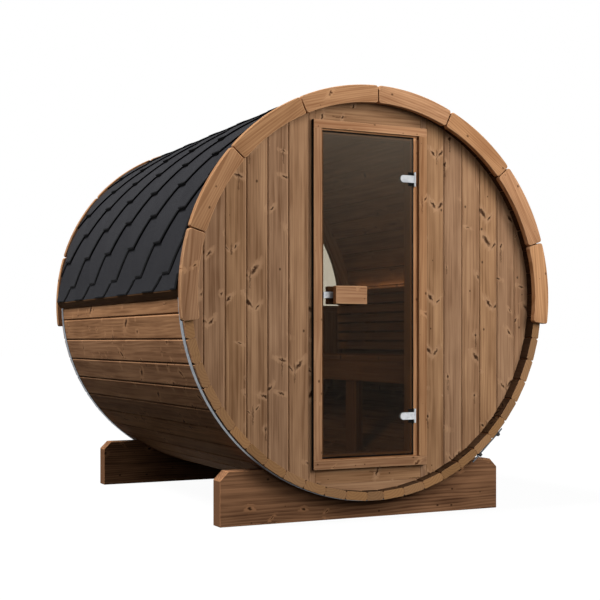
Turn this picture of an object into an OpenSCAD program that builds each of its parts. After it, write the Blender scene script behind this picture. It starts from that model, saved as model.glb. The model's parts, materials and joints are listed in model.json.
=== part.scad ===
// Barrel sauna: a coopered timber barrel lying on two cradles, with a shingled upper half,
// a framed glass door in the front wall and a half-moon window in the rear wall.
// Millimetres. X runs across the barrel, Y from the door to the rear, Z up from the ground.
// The origin is on the ground, midway along and across the barrel.

/* [Barrel] */
// Outer diameter of the barrel, across the flat stave faces
barrel_d = 1970; // [1900:10:2200]
// Length of the staves
barrel_l = 2100; // [1700:10:2600]
// Height of the lowest stave above the ground
barrel_lift = 93; // [75:1:110]

/* [Staves] */
// Width of a full stave on its outer face
stave_w = 117.4; // [95:0.1:140]
// Thickness of a stave
stave_t = 42; // [38:1:48]
// Radius of the round bead along one edge of a stave
bead_r = 16; // [13:0.5:18]
// How far the bead stands out into the cove of the next stave
bead_h = 5; // [3:0.5:7]
// Gap left between neighbouring staves
joint_gap = 0.4; // [0.3:0.1:0.8]
// Chamfer on the outer edges of a stave
stave_chamfer = 3; // [1:0.5:5]
// Depth of the groove that holds an end wall
croze_depth = 12; // [6:1:16]

/* [End walls] */
// Distance from the stave ends to the face of an end wall
wall_recess = 62.5; // [55:0.5:80]
// Thickness of an end wall
wall_t = 42; // [36:1:50]
// Cover width of a wall board
board_w = 107.5; // [85:0.5:130]
// V chamfer on the face edges of a board
board_v = 3; // [1:0.5:5]
// Length of a board's tongue
tongue_l = 8; // [4:1:12]
// Thickness of a board's tongue
tongue_t = 8; // [5:1:12]
// Height of the first cross board over and under the door
cross_board_h = 92; // [60:1:100]

/* [Door frame] */
// Width over the casing
casing_span = 626; // [580:2:680]
// Height of the casing's lower edge over the lowest point inside the barrel
casing_under = 113; // [100:1:130]
// Distance from the casing's upper edge to the highest point inside the barrel
casing_over = 110; // [96:1:150]
// Face width of the casing at the sides
casing_w = 44; // [40:1:48]
// Face width of the casing over the door
head_w = 40; // [36:1:48]
// Face height of the sill
sill_w = 44; // [40:1:52]
// How far the casing stands out of the wall
casing_proud = 28; // [24:1:34]
// Thickness of the casing's face lip
lip_t = 7; // [4:0.5:9]
// How far the face lip stands out past the casing's core
lip_over = 4; // [2:0.5:6]
// How far the casing laps over the studs beside the opening
casing_lap = 20; // [14:1:24]
// Width of a stud beside the opening
stud_w = 31; // [24:1:45]
// How far the inner frame reaches in past the edges of the glass
frame_lap = 13; // [11:0.5:16]
// How far the inner frame stands into the cabin
frame_in = 10; // [4:1:20]
// How far the seal on the inner frame reaches in past the edges of the glass
seal_in = 4; // [2:0.5:6]
// How far that seal reaches out past the edges of the glass
seal_out = 4.5; // [3:0.5:5]
// Thickness of that seal
seal_t = 4; // [3:0.5:5]

/* [Door] */
// Distance from the casing's face to the glass
glass_depth = 8.5; // [7:0.5:10]
// Thickness of the glass
glass_t = 8; // [6:1:10]
// Gap between the glass and the casing, above and below
glass_gap = 11; // [8:0.5:13]
// Gap between the glass and the casing on the latch side
latch_gap = 3; // [2:0.5:5]
// Gap between the glass and the casing on the hinge side
hinge_side_gap = 28; // [26:0.5:34]
// Distance from the edge of the glass to the hinge axis
hinge_offset = 6; // [6:0.5:8]
// Distance from the lower edge of the glass to the lower hinge
hinge_low = 188; // [120:1:300]
// Distance from the upper edge of the glass to the upper hinge
hinge_high = 203; // [120:1:300]
// Length of a hinge clamp along the glass
clamp_l = 73; // [60:1:90]
// Height of a hinge clamp
clamp_h = 36; // [30:1:42]
// Thickness of a clamp's outer cheek
clamp_t = 6; // [5:0.5:7]
// Thickness of a clamp's inner cheek
clamp_back_t = 5; // [3:0.5:8]
// Length of the web between a clamp and its knuckle
web_l = 5.5; // [3:0.5:8]
// Thickness of that web
web_t = 3; // [2:0.5:4]
// Height of a hinge plate on the frame
plate_h = 70; // [60:1:90]
// How far a hinge plate reaches past the hinge axis
plate_w = 15; // [10:1:17]
// Thickness of a hinge plate
plate_t = 3.5; // [2:0.5:5]
// Radius of a hinge knuckle
knuckle_r = 5.5; // [4.5:0.1:5.5]
// Radius of a hinge pin
pin_r = 2.2; // [1.8:0.1:2.6]
// Radius of the screw heads in the clamps and the latch plate
screw_r = 5; // [3:0.5:6]
// Height of those screw heads
screw_h = 1.5; // [1:0.5:3]
// Width of a wooden handle block
handle_w = 168; // [130:1:190]
// Height of a wooden handle block
handle_h = 86; // [60:1:100]
// Thickness of a wooden handle block
handle_t = 33; // [20:1:36]
// Gap between a handle block and the glass
handle_gap = 20; // [16:1:24]
// Distance from the latch edge of the glass to the handle block
handle_inset = 48; // [44:1:80]
// Height of the handle's middle over the barrel's axis
handle_lift = 1; // [-80:1:80]
// Radius of the handle's steel spacers
spacer_r = 9; // [7:0.5:12]
// Distance of a spacer from the end of its handle block
spacer_inset = 36; // [25:1:50]
// Radius of the bolts through the glass
bolt_r = 4; // [3:0.5:5]
// Height of the latch plate on the glass
latch_h = 30; // [24:1:40]
// Length of the latch plate along the glass
latch_l = 64; // [50:1:66]
// Thickness of the latch plate
latch_t = 5; // [3:0.5:8]
// Distance from the latch edge of the glass to the latch plate
latch_inset = 6; // [2:0.5:8]

/* [Rear window] */
// Width of the frame round the half-moon opening, inside the staves
window_frame_w = 75; // [65:1:140]
// Height of the opening's lower edge above the barrel's axis
window_base = 15; // [0:1:60]
// Height of the rail under the window
rail_h = 46; // [36:1:90]
// Depth of the groove that holds the pane
pane_groove = 10; // [6:1:14]
// Thickness of the pane
pane_t = 8; // [6:1:12]
// Number of curved pieces in the window frame
window_pieces = 4; // [3:1:6]

/* [Ring trim] */
// Number of blocks in one ring
ring_blocks = 8; // [6:1:10]
// Angle covered by one ring
ring_arc = 195.3; // [186:0.1:205]
// How far a ring reaches past the stave faces
ring_over = 22; // [20:1:30]
// How far a ring reaches inside the staves
ring_under = 20; // [10:1:30]
// Thickness of a ring
ring_t = 32.6; // [24:0.1:40]
// Gap between ring blocks
ring_gap = 5; // [2:0.5:8]

/* [Roof] */
// Width of one course of shingles
course_w = 155; // [145:1:165]
// Angle covered by the starter course at the eave
starter_arc = 5.2; // [4.5:0.1:6]
// Thickness of a course at its lower edge
shingle_butt = 9; // [6:0.5:10]
// Thickness of a course at its upper edge
shingle_head = 5; // [3:0.5:6]
// Height of the eave edge above the barrel's axis
eave_z = 12; // [6:1:20]
// How far the eave edge stands out of the stave faces
eave_out = 29; // [24:1:34]
// Distance from the barrel's axis down to the foot of the eave batten
batten_drop = 23; // [15:1:32]
// Thickness of the shingle over the eave batten
eave_shingle = 5; // [4:0.5:7]
// Gap between the roof and the ring trim
roof_gap = 10; // [4:1:16]

/* [Straps] */
// Width of a strap
strap_w = 33; // [24:1:40]
// Thickness of a strap
strap_t = 1.5; // [1:0.1:2]
// Distance from the stave end to the edge of a strap
strap_inset = 20; // [14:1:28]
// Angle of the tensioner below the horizontal
tension_angle = 47.5; // [42:0.5:50]
// Distance between the middles of the two lugs of a tensioner
lug_span = 147; // [120:1:160]
// Thickness of a lug
lug_t = 13; // [10:1:18]
// Height of a lug over the strap
lug_h = 30; // [28:1:36]
// Height of the tension rod over the strap
rod_z = 19; // [16:0.5:20]
// Radius of the tension rod
rod_r = 4; // [3:0.5:5]
// How far the rod runs out past the upper lug
rod_tail_high = 33; // [20:1:45]
// How far the rod runs out past the lower lug
rod_tail_low = 48; // [20:1:55]
// Width of a rod nut across its corners
nut_d = 15; // [12:0.5:18]
// Thickness of a rod nut
nut_t = 7; // [4:0.5:10]

/* [Cradles] */
// Length of a cradle across the barrel
cradle_l = 1538; // [1400:2:1700]
// Height of a cradle at its ends
cradle_h = 256; // [230:1:280]
// Thickness of a cradle
cradle_t = 83; // [60:1:110]
// Chamfer on the upper corners of a cradle
cradle_chamfer = 42; // [20:1:50]
// Distance from the stave end to the outer face of a cradle
cradle_inset = 91; // [75:1:300]

/* [Bench] */
// Distance from the barrel's axis down to the seat
bench_drop = 298; // [260:1:340]
// Distance from the door frame across to the front of the seat
bench_gap = 85; // [60:1:130]
// How far the seat overhangs the fascia
seat_over = 5; // [2:1:15]
// Height of the fascia
fascia_h = 116; // [90:1:140]
// Thickness of the fascia
fascia_t = 18; // [14:1:24]
// Thickness of a seat slat
slat_t = 28; // [22:1:34]
// Gap between seat slats
slat_gap = 12; // [6:1:16]
// Number of seat slats
slats_n = 4; // [3:1:5]
// Thickness of a bearer under the seat
bearer_t = 45; // [36:1:60]
// Distance of the leg from the middle of the cabin, towards the door
leg_y = 55; // [-200:1:200]
// Width of the leg along the bench
leg_w = 124; // [80:1:140]
// Thickness of the leg across the bench
leg_t = 45; // [36:1:60]
// Distance from the staves at the height of the axis to the face of the backrest
backrest_inset = 103; // [90:1:140]
// Height of the backrest's lower edge over the seat
backrest_lift = 29; // [20:1:60]
// Number of backrest slats
backrest_n = 6; // [4:1:7]
// Width of a backrest slat
backrest_slat_w = 46; // [36:1:52]
// Gap between backrest slats
backrest_gap = 12; // [6:1:16]
// Thickness of a backrest slat
backrest_slat_t = 20; // [16:1:24]
// Height of the rail over the backrest
cap_h = 30; // [20:1:40]
// How far that rail stands out of the slats
cap_over = 10; // [0:1:15]
// Distance of the outer backrest uprights from the middle
upright_y = 620; // [400:10:700]

/* [Clearances] */
// Gap between pieces that lie side by side
piece_gap = 0.5; // [0.3:0.1:0.7]
// Gap between round faces that bear on each other
round_gap = 0.4; // [0.3:0.1:0.7]
// Gap round a hinge pin
pin_gap = 0.1; // [0.05:0.05:0.2]

/* [Hidden] */

small_fn = 48;
$fn = 360;
over = 1; // extra reach of a cut past a face

// Barrel
barrel_r = barrel_d / 2;
inner_r = barrel_r - stave_t;
pitch = 2 * atan(stave_w / 2 / barrel_r);
full_staves = floor(360 / pitch - 0.5);
closing_arc = 360 - full_staves * pitch;
bottom = 270; // angle of the closing stave's middle
first_joint = bottom + closing_arc / 2;
stave_groups = 6;
face_half = barrel_r * tan(max(pitch, closing_arc) / 2) - joint_gap / 2 - stave_chamfer;
corner_r = sqrt(barrel_r * barrel_r + face_half * face_half);
axis_z = barrel_lift + barrel_r;
end_y = barrel_l / 2;
croze_r = inner_r + croze_depth;
wall_r = croze_r - piece_gap;
seat_r = inner_r - round_gap; // round face that rests on the staves inside
wall_y = end_y - wall_recess; // face of an end wall, from the middle
cabin_y = wall_y - wall_t; // inner face of an end wall, from the middle

// Door frame, with depths measured from the middle towards the door
casing_face = wall_y + casing_proud;
lip_back = casing_face - lip_t;
casing_half = casing_span / 2;
core_half = casing_half - lip_over;
inner_half = casing_half - casing_w;
liner_half = casing_half - casing_lap;
stud_inner = liner_half + piece_gap;
stud_outer = stud_inner + stud_w;
board_start = stud_outer + piece_gap;
casing_bottom = axis_z - inner_r + casing_under;
casing_top = axis_z + inner_r - casing_over;
sill_top = casing_bottom + sill_w;
head_low = casing_top - head_w;
liner_top = casing_top - casing_lap;
liner_low = casing_bottom + casing_lap;

// Door leaf
glass_face = casing_face - glass_depth;
glass_back = glass_face - glass_t;
glass_left = -inner_half + latch_gap;
glass_right = inner_half - hinge_side_gap;
glass_low = sill_top + glass_gap;
glass_high = head_low - glass_gap;
hinge_x = glass_right + hinge_offset;
hinge_y = glass_face + clamp_t / 2;
hinge_heights = [glass_low + hinge_low, glass_high - hinge_high];
clamp_end = hinge_x - knuckle_r - web_l;
clamp_tip = clamp_end - clamp_l;
handle_z = axis_z + handle_lift;
handle_x = glass_left + handle_inset + handle_w / 2;
spacer_x = [handle_x - handle_w / 2 + spacer_inset, handle_x + handle_w / 2 - spacer_inset];

// Inner frame, which the glass closes against
frame_face = glass_back - seal_t - piece_gap;
frame_back = cabin_y - frame_in;
frame_left = glass_left + frame_lap;
frame_right = glass_right - frame_lap;
frame_low = glass_low + frame_lap;
frame_high = glass_high - frame_lap;
clamp_back_end = frame_right - piece_gap;

// Rear window
window_r = inner_r - window_frame_w;
rail_top = axis_z + window_base;
rail_low = rail_top - rail_h;
pane_y = wall_y - wall_t / 2;

// Ring trim
ring_outer = barrel_r + ring_over;
ring_inner = inner_r - ring_under;
ring_step = ring_arc / ring_blocks;

// Straps
strap_r = corner_r + round_gap;
strap_outer = strap_r + strap_t;
strap_y = end_y - strap_inset - strap_w / 2;
strap_break = lug_span - lug_t;

// Roof
roof_r = corner_r + piece_gap;
roof_y = end_y - roof_gap;
course_arc = course_w / roof_r * 180 / PI;
courses = floor((90 - starter_arc) / course_arc); // full courses on one side
ridge_low = starter_arc + courses * course_arc;

// Cabin
cabin_l = 2 * cabin_y - 2 * piece_gap;
bench_z = axis_z - bench_drop;
seat_low = bench_z - slat_t;
seat_end = sqrt(seat_r * seat_r - (axis_z - seat_low) * (axis_z - seat_low)) - piece_gap;
bench_x = liner_half + bench_gap;
slat_w = (seat_end - bench_x - (slats_n - 1) * slat_gap) / slats_n;
fascia_x = bench_x + seat_over;
frame_x = fascia_x + fascia_t + piece_gap;
bearer_low = seat_low - fascia_h;
bearer_y = [-cabin_l / 2 + bearer_t / 2, cabin_l / 2 - bearer_t / 2];
backrest_low = bench_z + backrest_lift;
backrest_step = backrest_slat_w + backrest_gap;
cap_low = backrest_low + backrest_n * backrest_step;
backrest_x = inner_r - backrest_inset;
upright_x = backrest_x + backrest_slat_t;

// Colours
timber = [0.58, 0.43, 0.31];
light_timber = [0.68, 0.50, 0.35];
dark_timber = [0.43, 0.31, 0.22];
felt = [0.22, 0.22, 0.23];
steel = [0.68, 0.70, 0.72];
black = [0.05, 0.05, 0.05];
bronze_glass = [0.30, 0.27, 0.24, 0.5];

// Point at radius r and angle a, in the plane across the barrel
function polar(r, a) = [r * cos(a), r * sin(a)];

// Draws a flat shape of the barrel's cross section along Y, from y0 to y1
module along_barrel(y0, y1) {
  translate([0, y1, axis_z]) rotate([90, 0, 0]) linear_extrude(height = y1 - y0) children();
}

// Solid cylinder on the barrel's axis
module axis_cylinder(r, y0, y1) {
  translate([0, y1, axis_z]) rotate([90, 0, 0]) cylinder(r = r, h = y1 - y0);
}

// Box between two corners
module box(low, high) {
  translate(low) cube(high - low);
}

// Cylinder along Y
module y_cylinder(x, z, r, y0, y1) {
  translate([x, y1, z]) rotate([90, 0, 0]) cylinder(r = r, h = y1 - y0, $fn = small_fn);
}

// Cylinder along Z
module z_cylinder(x, y, r, z0, z1) {
  translate([x, y, z0]) cylinder(r = r, h = z1 - z0, $fn = small_fn);
}

// Middle of the bead that belongs to the joint at angle a
function bead_centre(a) =
  polar(barrel_r - stave_t / 2, a) + (bead_h - bead_r - joint_gap / 2) * [-sin(a), cos(a)];

// Cross section of the stave between the joints at a0 and a1: a bead at a1 and a cove at a0
module stave_section(a0, a1) {
  outer = barrel_r * tan((a1 - a0) / 2) - joint_gap / 2;
  inner = inner_r * tan((a1 - a0) / 2) - joint_gap / 2;
  shoulder = outer - stave_chamfer * (outer - inner) / stave_t;
  low = barrel_r - stave_chamfer;
  face = outer - stave_chamfer;
  difference() {
    union() {
      rotate((a0 + a1) / 2) polygon([
        [inner_r, -inner], [low, -shoulder], [barrel_r, -face],
        [barrel_r, face], [low, shoulder], [inner_r, inner]
      ]);
      translate(bead_centre(a1)) circle(r = bead_r, $fn = small_fn);
    }
    translate(bead_centre(a0)) circle(r = bead_r + joint_gap, $fn = small_fn);
  }
}

// One stave with the grooves for both end walls
module stave(a0, a1) {
  difference() {
    along_barrel(-end_y, end_y) stave_section(a0, a1);
    axis_cylinder(croze_r, -wall_y - piece_gap, -cabin_y + piece_gap);
    axis_cylinder(croze_r, cabin_y - piece_gap, wall_y + piece_gap);
  }
}

// The staves of one sector of the barrel, counted from the bottom over the right-hand side
module stave_group(group) {
  for (k = [0 : full_staves - 1]) {
    if (floor(stave_groups * k / full_staves) == group)
      stave(first_joint + k * pitch, first_joint + (k + 1) * pitch);
  }
  if (group == stave_groups - 1)
    stave(bottom - closing_arc / 2, first_joint);
}

module staves_bottom_right() color(dark_timber) stave_group(0);
module staves_right() color(timber) stave_group(1);
module staves_top_right() color(timber) stave_group(2);
module staves_top_left() color(timber) stave_group(3);
module staves_left() color(timber) stave_group(4);
module staves_bottom_left() color(dark_timber) stave_group(5);

// A bearer with a round saddle, from y0 on
module cradle(y0) {
  half = cradle_l / 2;
  side = cradle_h - cradle_chamfer;
  difference() {
    translate([0, y0 + cradle_t, 0]) rotate([90, 0, 0]) linear_extrude(height = cradle_t) polygon([
      [-half, 0], [half, 0], [half, side], [half - cradle_chamfer, cradle_h],
      [cradle_chamfer - half, cradle_h], [-half, side]
    ]);
    axis_cylinder(corner_r + round_gap, y0 - over, y0 + cradle_t + over);
  }
}

module front_cradle() color(dark_timber) cradle(-end_y + cradle_inset);
module rear_cradle() color(dark_timber) cradle(end_y - cradle_inset - cradle_t);

// Places a tensioner piece: X along the strap, Y along the barrel, Z out from the strap
module at_tensioner(y) {
  translate([0, y, axis_z]) rotate([0, 90 + tension_angle, 0]) translate([0, 0, strap_outer]) children();
}

// Band round the barrel, broken where the tensioner pulls its ends together
module strap(y) {
  difference() {
    axis_cylinder(strap_outer, y - strap_w / 2, y + strap_w / 2);
    axis_cylinder(strap_r, y - strap_w / 2 - over, y + strap_w / 2 + over);
    at_tensioner(y)
      box([-strap_break / 2, -strap_w, -stave_t], [strap_break / 2, strap_w, lug_h]);
  }
}

module front_strap() color(steel) strap(-strap_y);
module rear_strap() color(steel) strap(strap_y);

// Lugs on the strap ends, each with a hole for the rod
module strap_lugs() color(black) for (y = [-strap_y, strap_y]) for (side = [-1, 1]) difference() {
  at_tensioner(y) translate([side * lug_span / 2, 0, 0])
    box([-lug_t / 2, -strap_w / 2, -stave_t / 2], [lug_t / 2, strap_w / 2, lug_h]);
  axis_cylinder(strap_outer + round_gap, y - strap_w, y + strap_w);
  at_tensioner(y) translate([-lug_span, 0, rod_z]) rotate([0, 90, 0])
    cylinder(r = rod_r + round_gap, h = 2 * lug_span, $fn = small_fn);
}

// Rods that draw the lugs together, with a nut outside each lug
module strap_rods() color(steel) for (y = [-strap_y, strap_y])
  at_tensioner(y) translate([0, 0, rod_z]) rotate([0, 90, 0]) {
    face = (lug_span + lug_t) / 2;
    translate([0, 0, -face - rod_tail_high])
      cylinder(r = rod_r, h = 2 * face + rod_tail_high + rod_tail_low, $fn = small_fn);
    for (z = [-face - nut_t, face])
      translate([0, 0, z]) cylinder(d = nut_d, h = nut_t, $fn = 6);
  }

// Cross section of a tongued board of cover width w: X across it, Y from its face into the wall
module board_section(w) {
  edge = w - piece_gap;
  low = wall_t / 2 - tongue_t / 2;
  high = wall_t / 2 + tongue_t / 2;
  slot = tongue_l + piece_gap;
  polygon([
    [0, board_v], [board_v, 0], [edge - board_v, 0], [edge, board_v],
    [edge, low], [edge + tongue_l, low], [edge + tongue_l, high], [edge, high],
    [edge, wall_t], [0, wall_t],
    [0, high + piece_gap], [slot, high + piece_gap], [slot, low - piece_gap], [0, low - piece_gap]
  ]);
}

// The part of the front wall's disc that its children cover
module in_front_disc() {
  intersection() {
    axis_cylinder(wall_r, -wall_y - over, -cabin_y + over);
    children();
  }
}

// Upright boards from the stud out to the barrel, on the right-hand side
module front_side_boards() {
  n = round((wall_r - board_start) / board_w);
  for (k = [0 : n - 1]) in_front_disc()
    translate([board_start + k * board_w, -wall_y, axis_z - barrel_r])
      linear_extrude(height = barrel_d) board_section(k < n - 1 ? board_w : barrel_r - board_start);
}

module front_wall_right() color(timber) front_side_boards();
module front_wall_left() color(timber) mirror([1, 0, 0]) front_side_boards();

// Two boards laid across between the studs, from height z0 to z1, parted at the height split
module cross_boards(z0, split, z1) {
  half = stud_inner - piece_gap;
  in_front_disc() box([-half, -wall_y, z0], [half, -cabin_y, split - piece_gap / 2]);
  in_front_disc() box([-half, -wall_y, split + piece_gap / 2], [half, -cabin_y, z1]);
}

module front_wall_header() color(timber)
  cross_boards(liner_top + piece_gap, liner_top + cross_board_h, axis_z + barrel_r);
module front_wall_apron() color(timber)
  cross_boards(axis_z - barrel_r, liner_low - cross_board_h, liner_low);

// Full-height studs beside the door opening
module door_studs() color(timber) for (side = [0, 1]) mirror([side, 0, 0]) in_front_disc()
  box([stud_inner, -wall_y, axis_z - barrel_r], [stud_outer, -cabin_y, axis_z + barrel_r]);

// Right-hand upright of the door frame: face lip, core, and inner frame from x = edge outwards
module door_jamb(edge) {
  box([inner_half, -casing_face, sill_top], [casing_half, -lip_back, head_low]);
  box([inner_half, -lip_back, sill_top], [core_half, -wall_y, head_low]);
  box([edge, -frame_face, frame_low], [liner_half, -frame_back, frame_high]);
}

module door_jamb_right() color(light_timber) door_jamb(frame_right);
module door_jamb_left() color(light_timber) mirror([1, 0, 0]) door_jamb(-frame_left);

// Cross piece of the inner frame, from height z0 to z1
module inner_frame_bar(z0, z1) {
  box([-inner_half, -frame_face, z0], [inner_half, -wall_y, z1]);
  box([-liner_half, -wall_y, z0], [liner_half, -frame_back, z1]);
}

module door_head() color(light_timber) {
  box([-casing_half, -casing_face, head_low], [casing_half, -lip_back, casing_top]);
  box([-core_half, -lip_back, head_low], [core_half, -wall_y, casing_top - lip_over]);
  inner_frame_bar(frame_high, liner_top);
}

module door_sill() color(light_timber) {
  box([-casing_half, -casing_face, casing_bottom], [casing_half, -lip_back, sill_top]);
  box([-core_half, -lip_back, casing_bottom + lip_over], [core_half, -wall_y, sill_top]);
  inner_frame_bar(liner_low, frame_low);
}

// Black seals: one round the casing's core, behind the face lip, and one between inner frame and glass
module door_frame_seal() color(black) {
  difference() {
    box([-casing_half + piece_gap, -lip_back, casing_bottom + piece_gap],
        [casing_half - piece_gap, -wall_y, casing_top - piece_gap]);
    box([-core_half, -lip_back - over, casing_bottom + lip_over],
        [core_half, -wall_y + over, casing_top - lip_over]);
  }
  difference() {
    box([-inner_half, -frame_face - seal_t, glass_low - seal_out],
        [glass_right + seal_out, -frame_face, glass_high + seal_out]);
    box([glass_left + seal_in, -frame_face - seal_t - over, glass_low + seal_in],
        [glass_right - seal_in, -frame_face + over, glass_high - seal_in]);
  }
}

// Fixed half of each hinge: a plate on the inner frame, two ears and the pin
module hinge_plates() color(steel) for (z = hinge_heights) {
  half = plate_h / 2;
  inner = clamp_h / 2 + piece_gap;
  side = glass_right + seal_out + piece_gap;
  box([side, -frame_face - plate_t, z - half], [hinge_x + plate_w, -frame_face, z + half]);
  for (end = [[z - half, z - inner], [z + inner, z + half]]) {
    z_cylinder(hinge_x, -hinge_y, knuckle_r, end[0], end[1]);
    box([side, -hinge_y, end[0]], [hinge_x + knuckle_r, -frame_face, end[1]]);
  }
  z_cylinder(hinge_x, -hinge_y, pin_r, z - half, z + half);
}

module door_glass() color(bronze_glass) difference() {
  box([glass_left, -glass_face, glass_low], [glass_right, -glass_back, glass_high]);
  for (x = spacer_x)
    y_cylinder(x, handle_z, bolt_r + piece_gap, -glass_face - over, -glass_back + over);
}

// One cheek of a hinge clamp, round at its free end, from the tip to x1 and from y0 to y1
module clamp_cheek(z, x1, y0, y1) {
  r = clamp_h / 2;
  box([clamp_tip + r, y0, z - r], [x1, y1, z + r]);
  y_cylinder(clamp_tip + r, z, r, y0, y1);
}

// Moving half of each hinge: two cheeks on the glass, a screw head and the middle knuckle
module hinge_clamps() color(steel) for (z = hinge_heights) {
  r = clamp_h / 2;
  cheek = -glass_face - clamp_t;
  difference() {
    union() {
      clamp_cheek(z, clamp_end, cheek, -glass_face);
      box([clamp_end - over, -hinge_y - web_t / 2, z - r], [hinge_x, -hinge_y + web_t / 2, z + r]);
      z_cylinder(hinge_x, -hinge_y, knuckle_r, z - r, z + r);
      y_cylinder(clamp_tip + r, z, screw_r, cheek - screw_h, cheek + over);
    }
    z_cylinder(hinge_x, -hinge_y, pin_r + pin_gap, z - r - over, z + r + over);
  }
  clamp_cheek(z, clamp_back_end, -glass_back, -glass_back + clamp_back_t);
}

// A flat wooden handle block from depth y0 on
module handle_block(y0) box(
  [handle_x - handle_w / 2, y0, handle_z - handle_h / 2],
  [handle_x + handle_w / 2, y0 + handle_t, handle_z + handle_h / 2]
);

module handle_outer() color(light_timber) handle_block(-glass_face - handle_gap - handle_t);
module handle_inner() color(light_timber) handle_block(-glass_back + handle_gap);

// Steel spacers on both sides of the glass, with the bolts that join them
module handle_spacers() color(steel) for (x = spacer_x) {
  y_cylinder(x, handle_z, spacer_r, -glass_face - handle_gap, -glass_face);
  y_cylinder(x, handle_z, bolt_r, -glass_face - over, -glass_back + over);
  y_cylinder(x, handle_z, spacer_r, -glass_back, -glass_back + handle_gap);
}

// Plate of the catch on the latch edge of the glass
module latch_plate() color(steel) {
  start = glass_left + latch_inset;
  low = handle_z - latch_h / 2;
  box([start, -glass_face - latch_t, low], [start + latch_l, -glass_face, low + latch_h]);
  y_cylinder(start + latch_h / 2, handle_z, screw_r, -glass_face - latch_t - screw_h, -glass_face - latch_t / 2);
}

// Upright boards of the rear wall, below the window rail
module rear_wall() color(timber) {
  n = round(2 * wall_r / board_w);
  w = 2 * wall_r / n;
  for (k = [0 : n - 1]) intersection() {
    axis_cylinder(wall_r, cabin_y - over, wall_y + over);
    translate([wall_r - k * w, wall_y, axis_z - barrel_r]) rotate([0, 0, 180])
      linear_extrude(height = rail_low - axis_z + barrel_r) board_section(w);
  }
}

// Half-moon space that the pane fills, wider by a gap all round
module pane_space(gap) {
  half = pane_t / 2 + gap;
  intersection() {
    axis_cylinder(window_r + pane_groove + gap, pane_y - half, pane_y + half);
    box([-barrel_r, cabin_y, rail_top - pane_groove - gap], [barrel_r, wall_y, axis_z + barrel_r]);
  }
}

module window_rail() color(timber) difference() {
  intersection() {
    axis_cylinder(wall_r, cabin_y, wall_y);
    box([-barrel_r, cabin_y - over, rail_low], [barrel_r, wall_y + over, rail_top]);
  }
  pane_space(piece_gap);
}

// Curved pieces over the window, seated on the rail and in the grooves of the staves
module window_frame() color(timber) {
  step = 180 / window_pieces;
  for (k = [0 : window_pieces - 1]) difference() {
    axis_cylinder(wall_r, cabin_y, wall_y);
    axis_cylinder(window_r, cabin_y - over, wall_y + over);
    box([-barrel_r, cabin_y - over, axis_z - barrel_r], [barrel_r, wall_y + over, rail_top + piece_gap]);
    pane_space(piece_gap);
    if (k > 0) half_space(k * step, -barrel_d, piece_gap / 2);
    if (k < window_pieces - 1) half_space((k + 1) * step, -piece_gap / 2, barrel_d);
  }
}

// All that lies between the heights z0 and z1 over a plane through the axis, tilted by angle a
module half_space(a, z0, z1) {
  translate([0, 0, axis_z]) rotate([0, -a, 0]) box([-barrel_d, cabin_y - over, z0], [barrel_d, end_y, z1]);
}

module window_glass() color(bronze_glass) pane_space(0);

// Wedge between two angles, less half a gap on each side
module ring_wedge(a0, a1) {
  reach = 2 * ring_outer - ring_inner;
  near = ring_inner / 2;
  slope = tan((a1 - a0) / 2);
  rotate((a0 + a1) / 2) polygon([
    [near, -near * slope + ring_gap / 2], [reach, -reach * slope + ring_gap / 2],
    [reach, reach * slope - ring_gap / 2], [near, near * slope - ring_gap / 2]
  ]);
}

// Blocks of trim over the stave ends, from y0 on
module ring(y0) {
  start = 90 - ring_arc / 2;
  for (k = [0 : ring_blocks - 1]) intersection() {
    difference() {
      axis_cylinder(ring_outer, y0, y0 + ring_t);
      axis_cylinder(ring_inner, y0 - over, y0 + ring_t + over);
    }
    along_barrel(y0 - over, y0 + ring_t + over)
      ring_wedge(start + k * ring_step, start + (k + 1) * ring_step);
  }
}

module front_ring() color(light_timber) ring(-end_y - ring_t);
module rear_ring() color(light_timber) ring(end_y);

// Room for both straps under whatever lies over them
module strap_room() {
  for (y = [-strap_y, strap_y])
    axis_cylinder(strap_outer + round_gap, y - strap_w / 2 - over, y + strap_w / 2 + over);
}

// Wedge that kicks the shingles out over the eave, on the right-hand side
module eave_batten() {
  tip = barrel_r + eave_out - eave_shingle;
  top = polar(roof_r, starter_arc);
  difference() {
    along_barrel(-roof_y, roof_y) polygon([
      [barrel_r - stave_t / 2, -batten_drop], [roof_r, -batten_drop], [tip, eave_z - eave_shingle],
      [tip, eave_z], [top[0], top[1] - piece_gap], [barrel_r - stave_t / 2, top[1] - piece_gap]
    ]);
    axis_cylinder(corner_r + round_gap, -end_y, end_y);
    strap_room();
  }
}

module eave_batten_right() color(dark_timber) eave_batten();
module eave_batten_left() color(dark_timber) mirror([1, 0, 0]) eave_batten();

// Radius of the flat underside of a course at its edges, clear of the staves at its middle
under_r = roof_r / cos(course_arc / 2);

// Cross section of one course that starts at angle a, thicker at its lower edge
module course(a) {
  gap = piece_gap / under_r * 180 / PI;
  polygon([
    polar(under_r, a + gap), polar(under_r + shingle_butt, a + gap),
    polar(under_r + shingle_head, a + course_arc), polar(under_r, a + course_arc)
  ]);
}

// Starter course over the eave batten and the full courses above it, on the right-hand side
module roof_side() {
  tip = barrel_r + eave_out;
  difference() {
    along_barrel(-roof_y, roof_y) polygon([
      [tip, eave_z], [tip - eave_shingle + piece_gap, eave_z + piece_gap],
      polar(roof_r + piece_gap, starter_arc), polar(under_r + shingle_head, starter_arc)
    ]);
    strap_room();
  }
  for (k = [0 : courses - 1]) difference() {
    along_barrel(-roof_y, roof_y) course(starter_arc + k * course_arc);
    strap_room();
  }
}

module roof_right() color(felt) roof_side();
module roof_left() color(felt) mirror([1, 0, 0]) roof_side();

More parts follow.
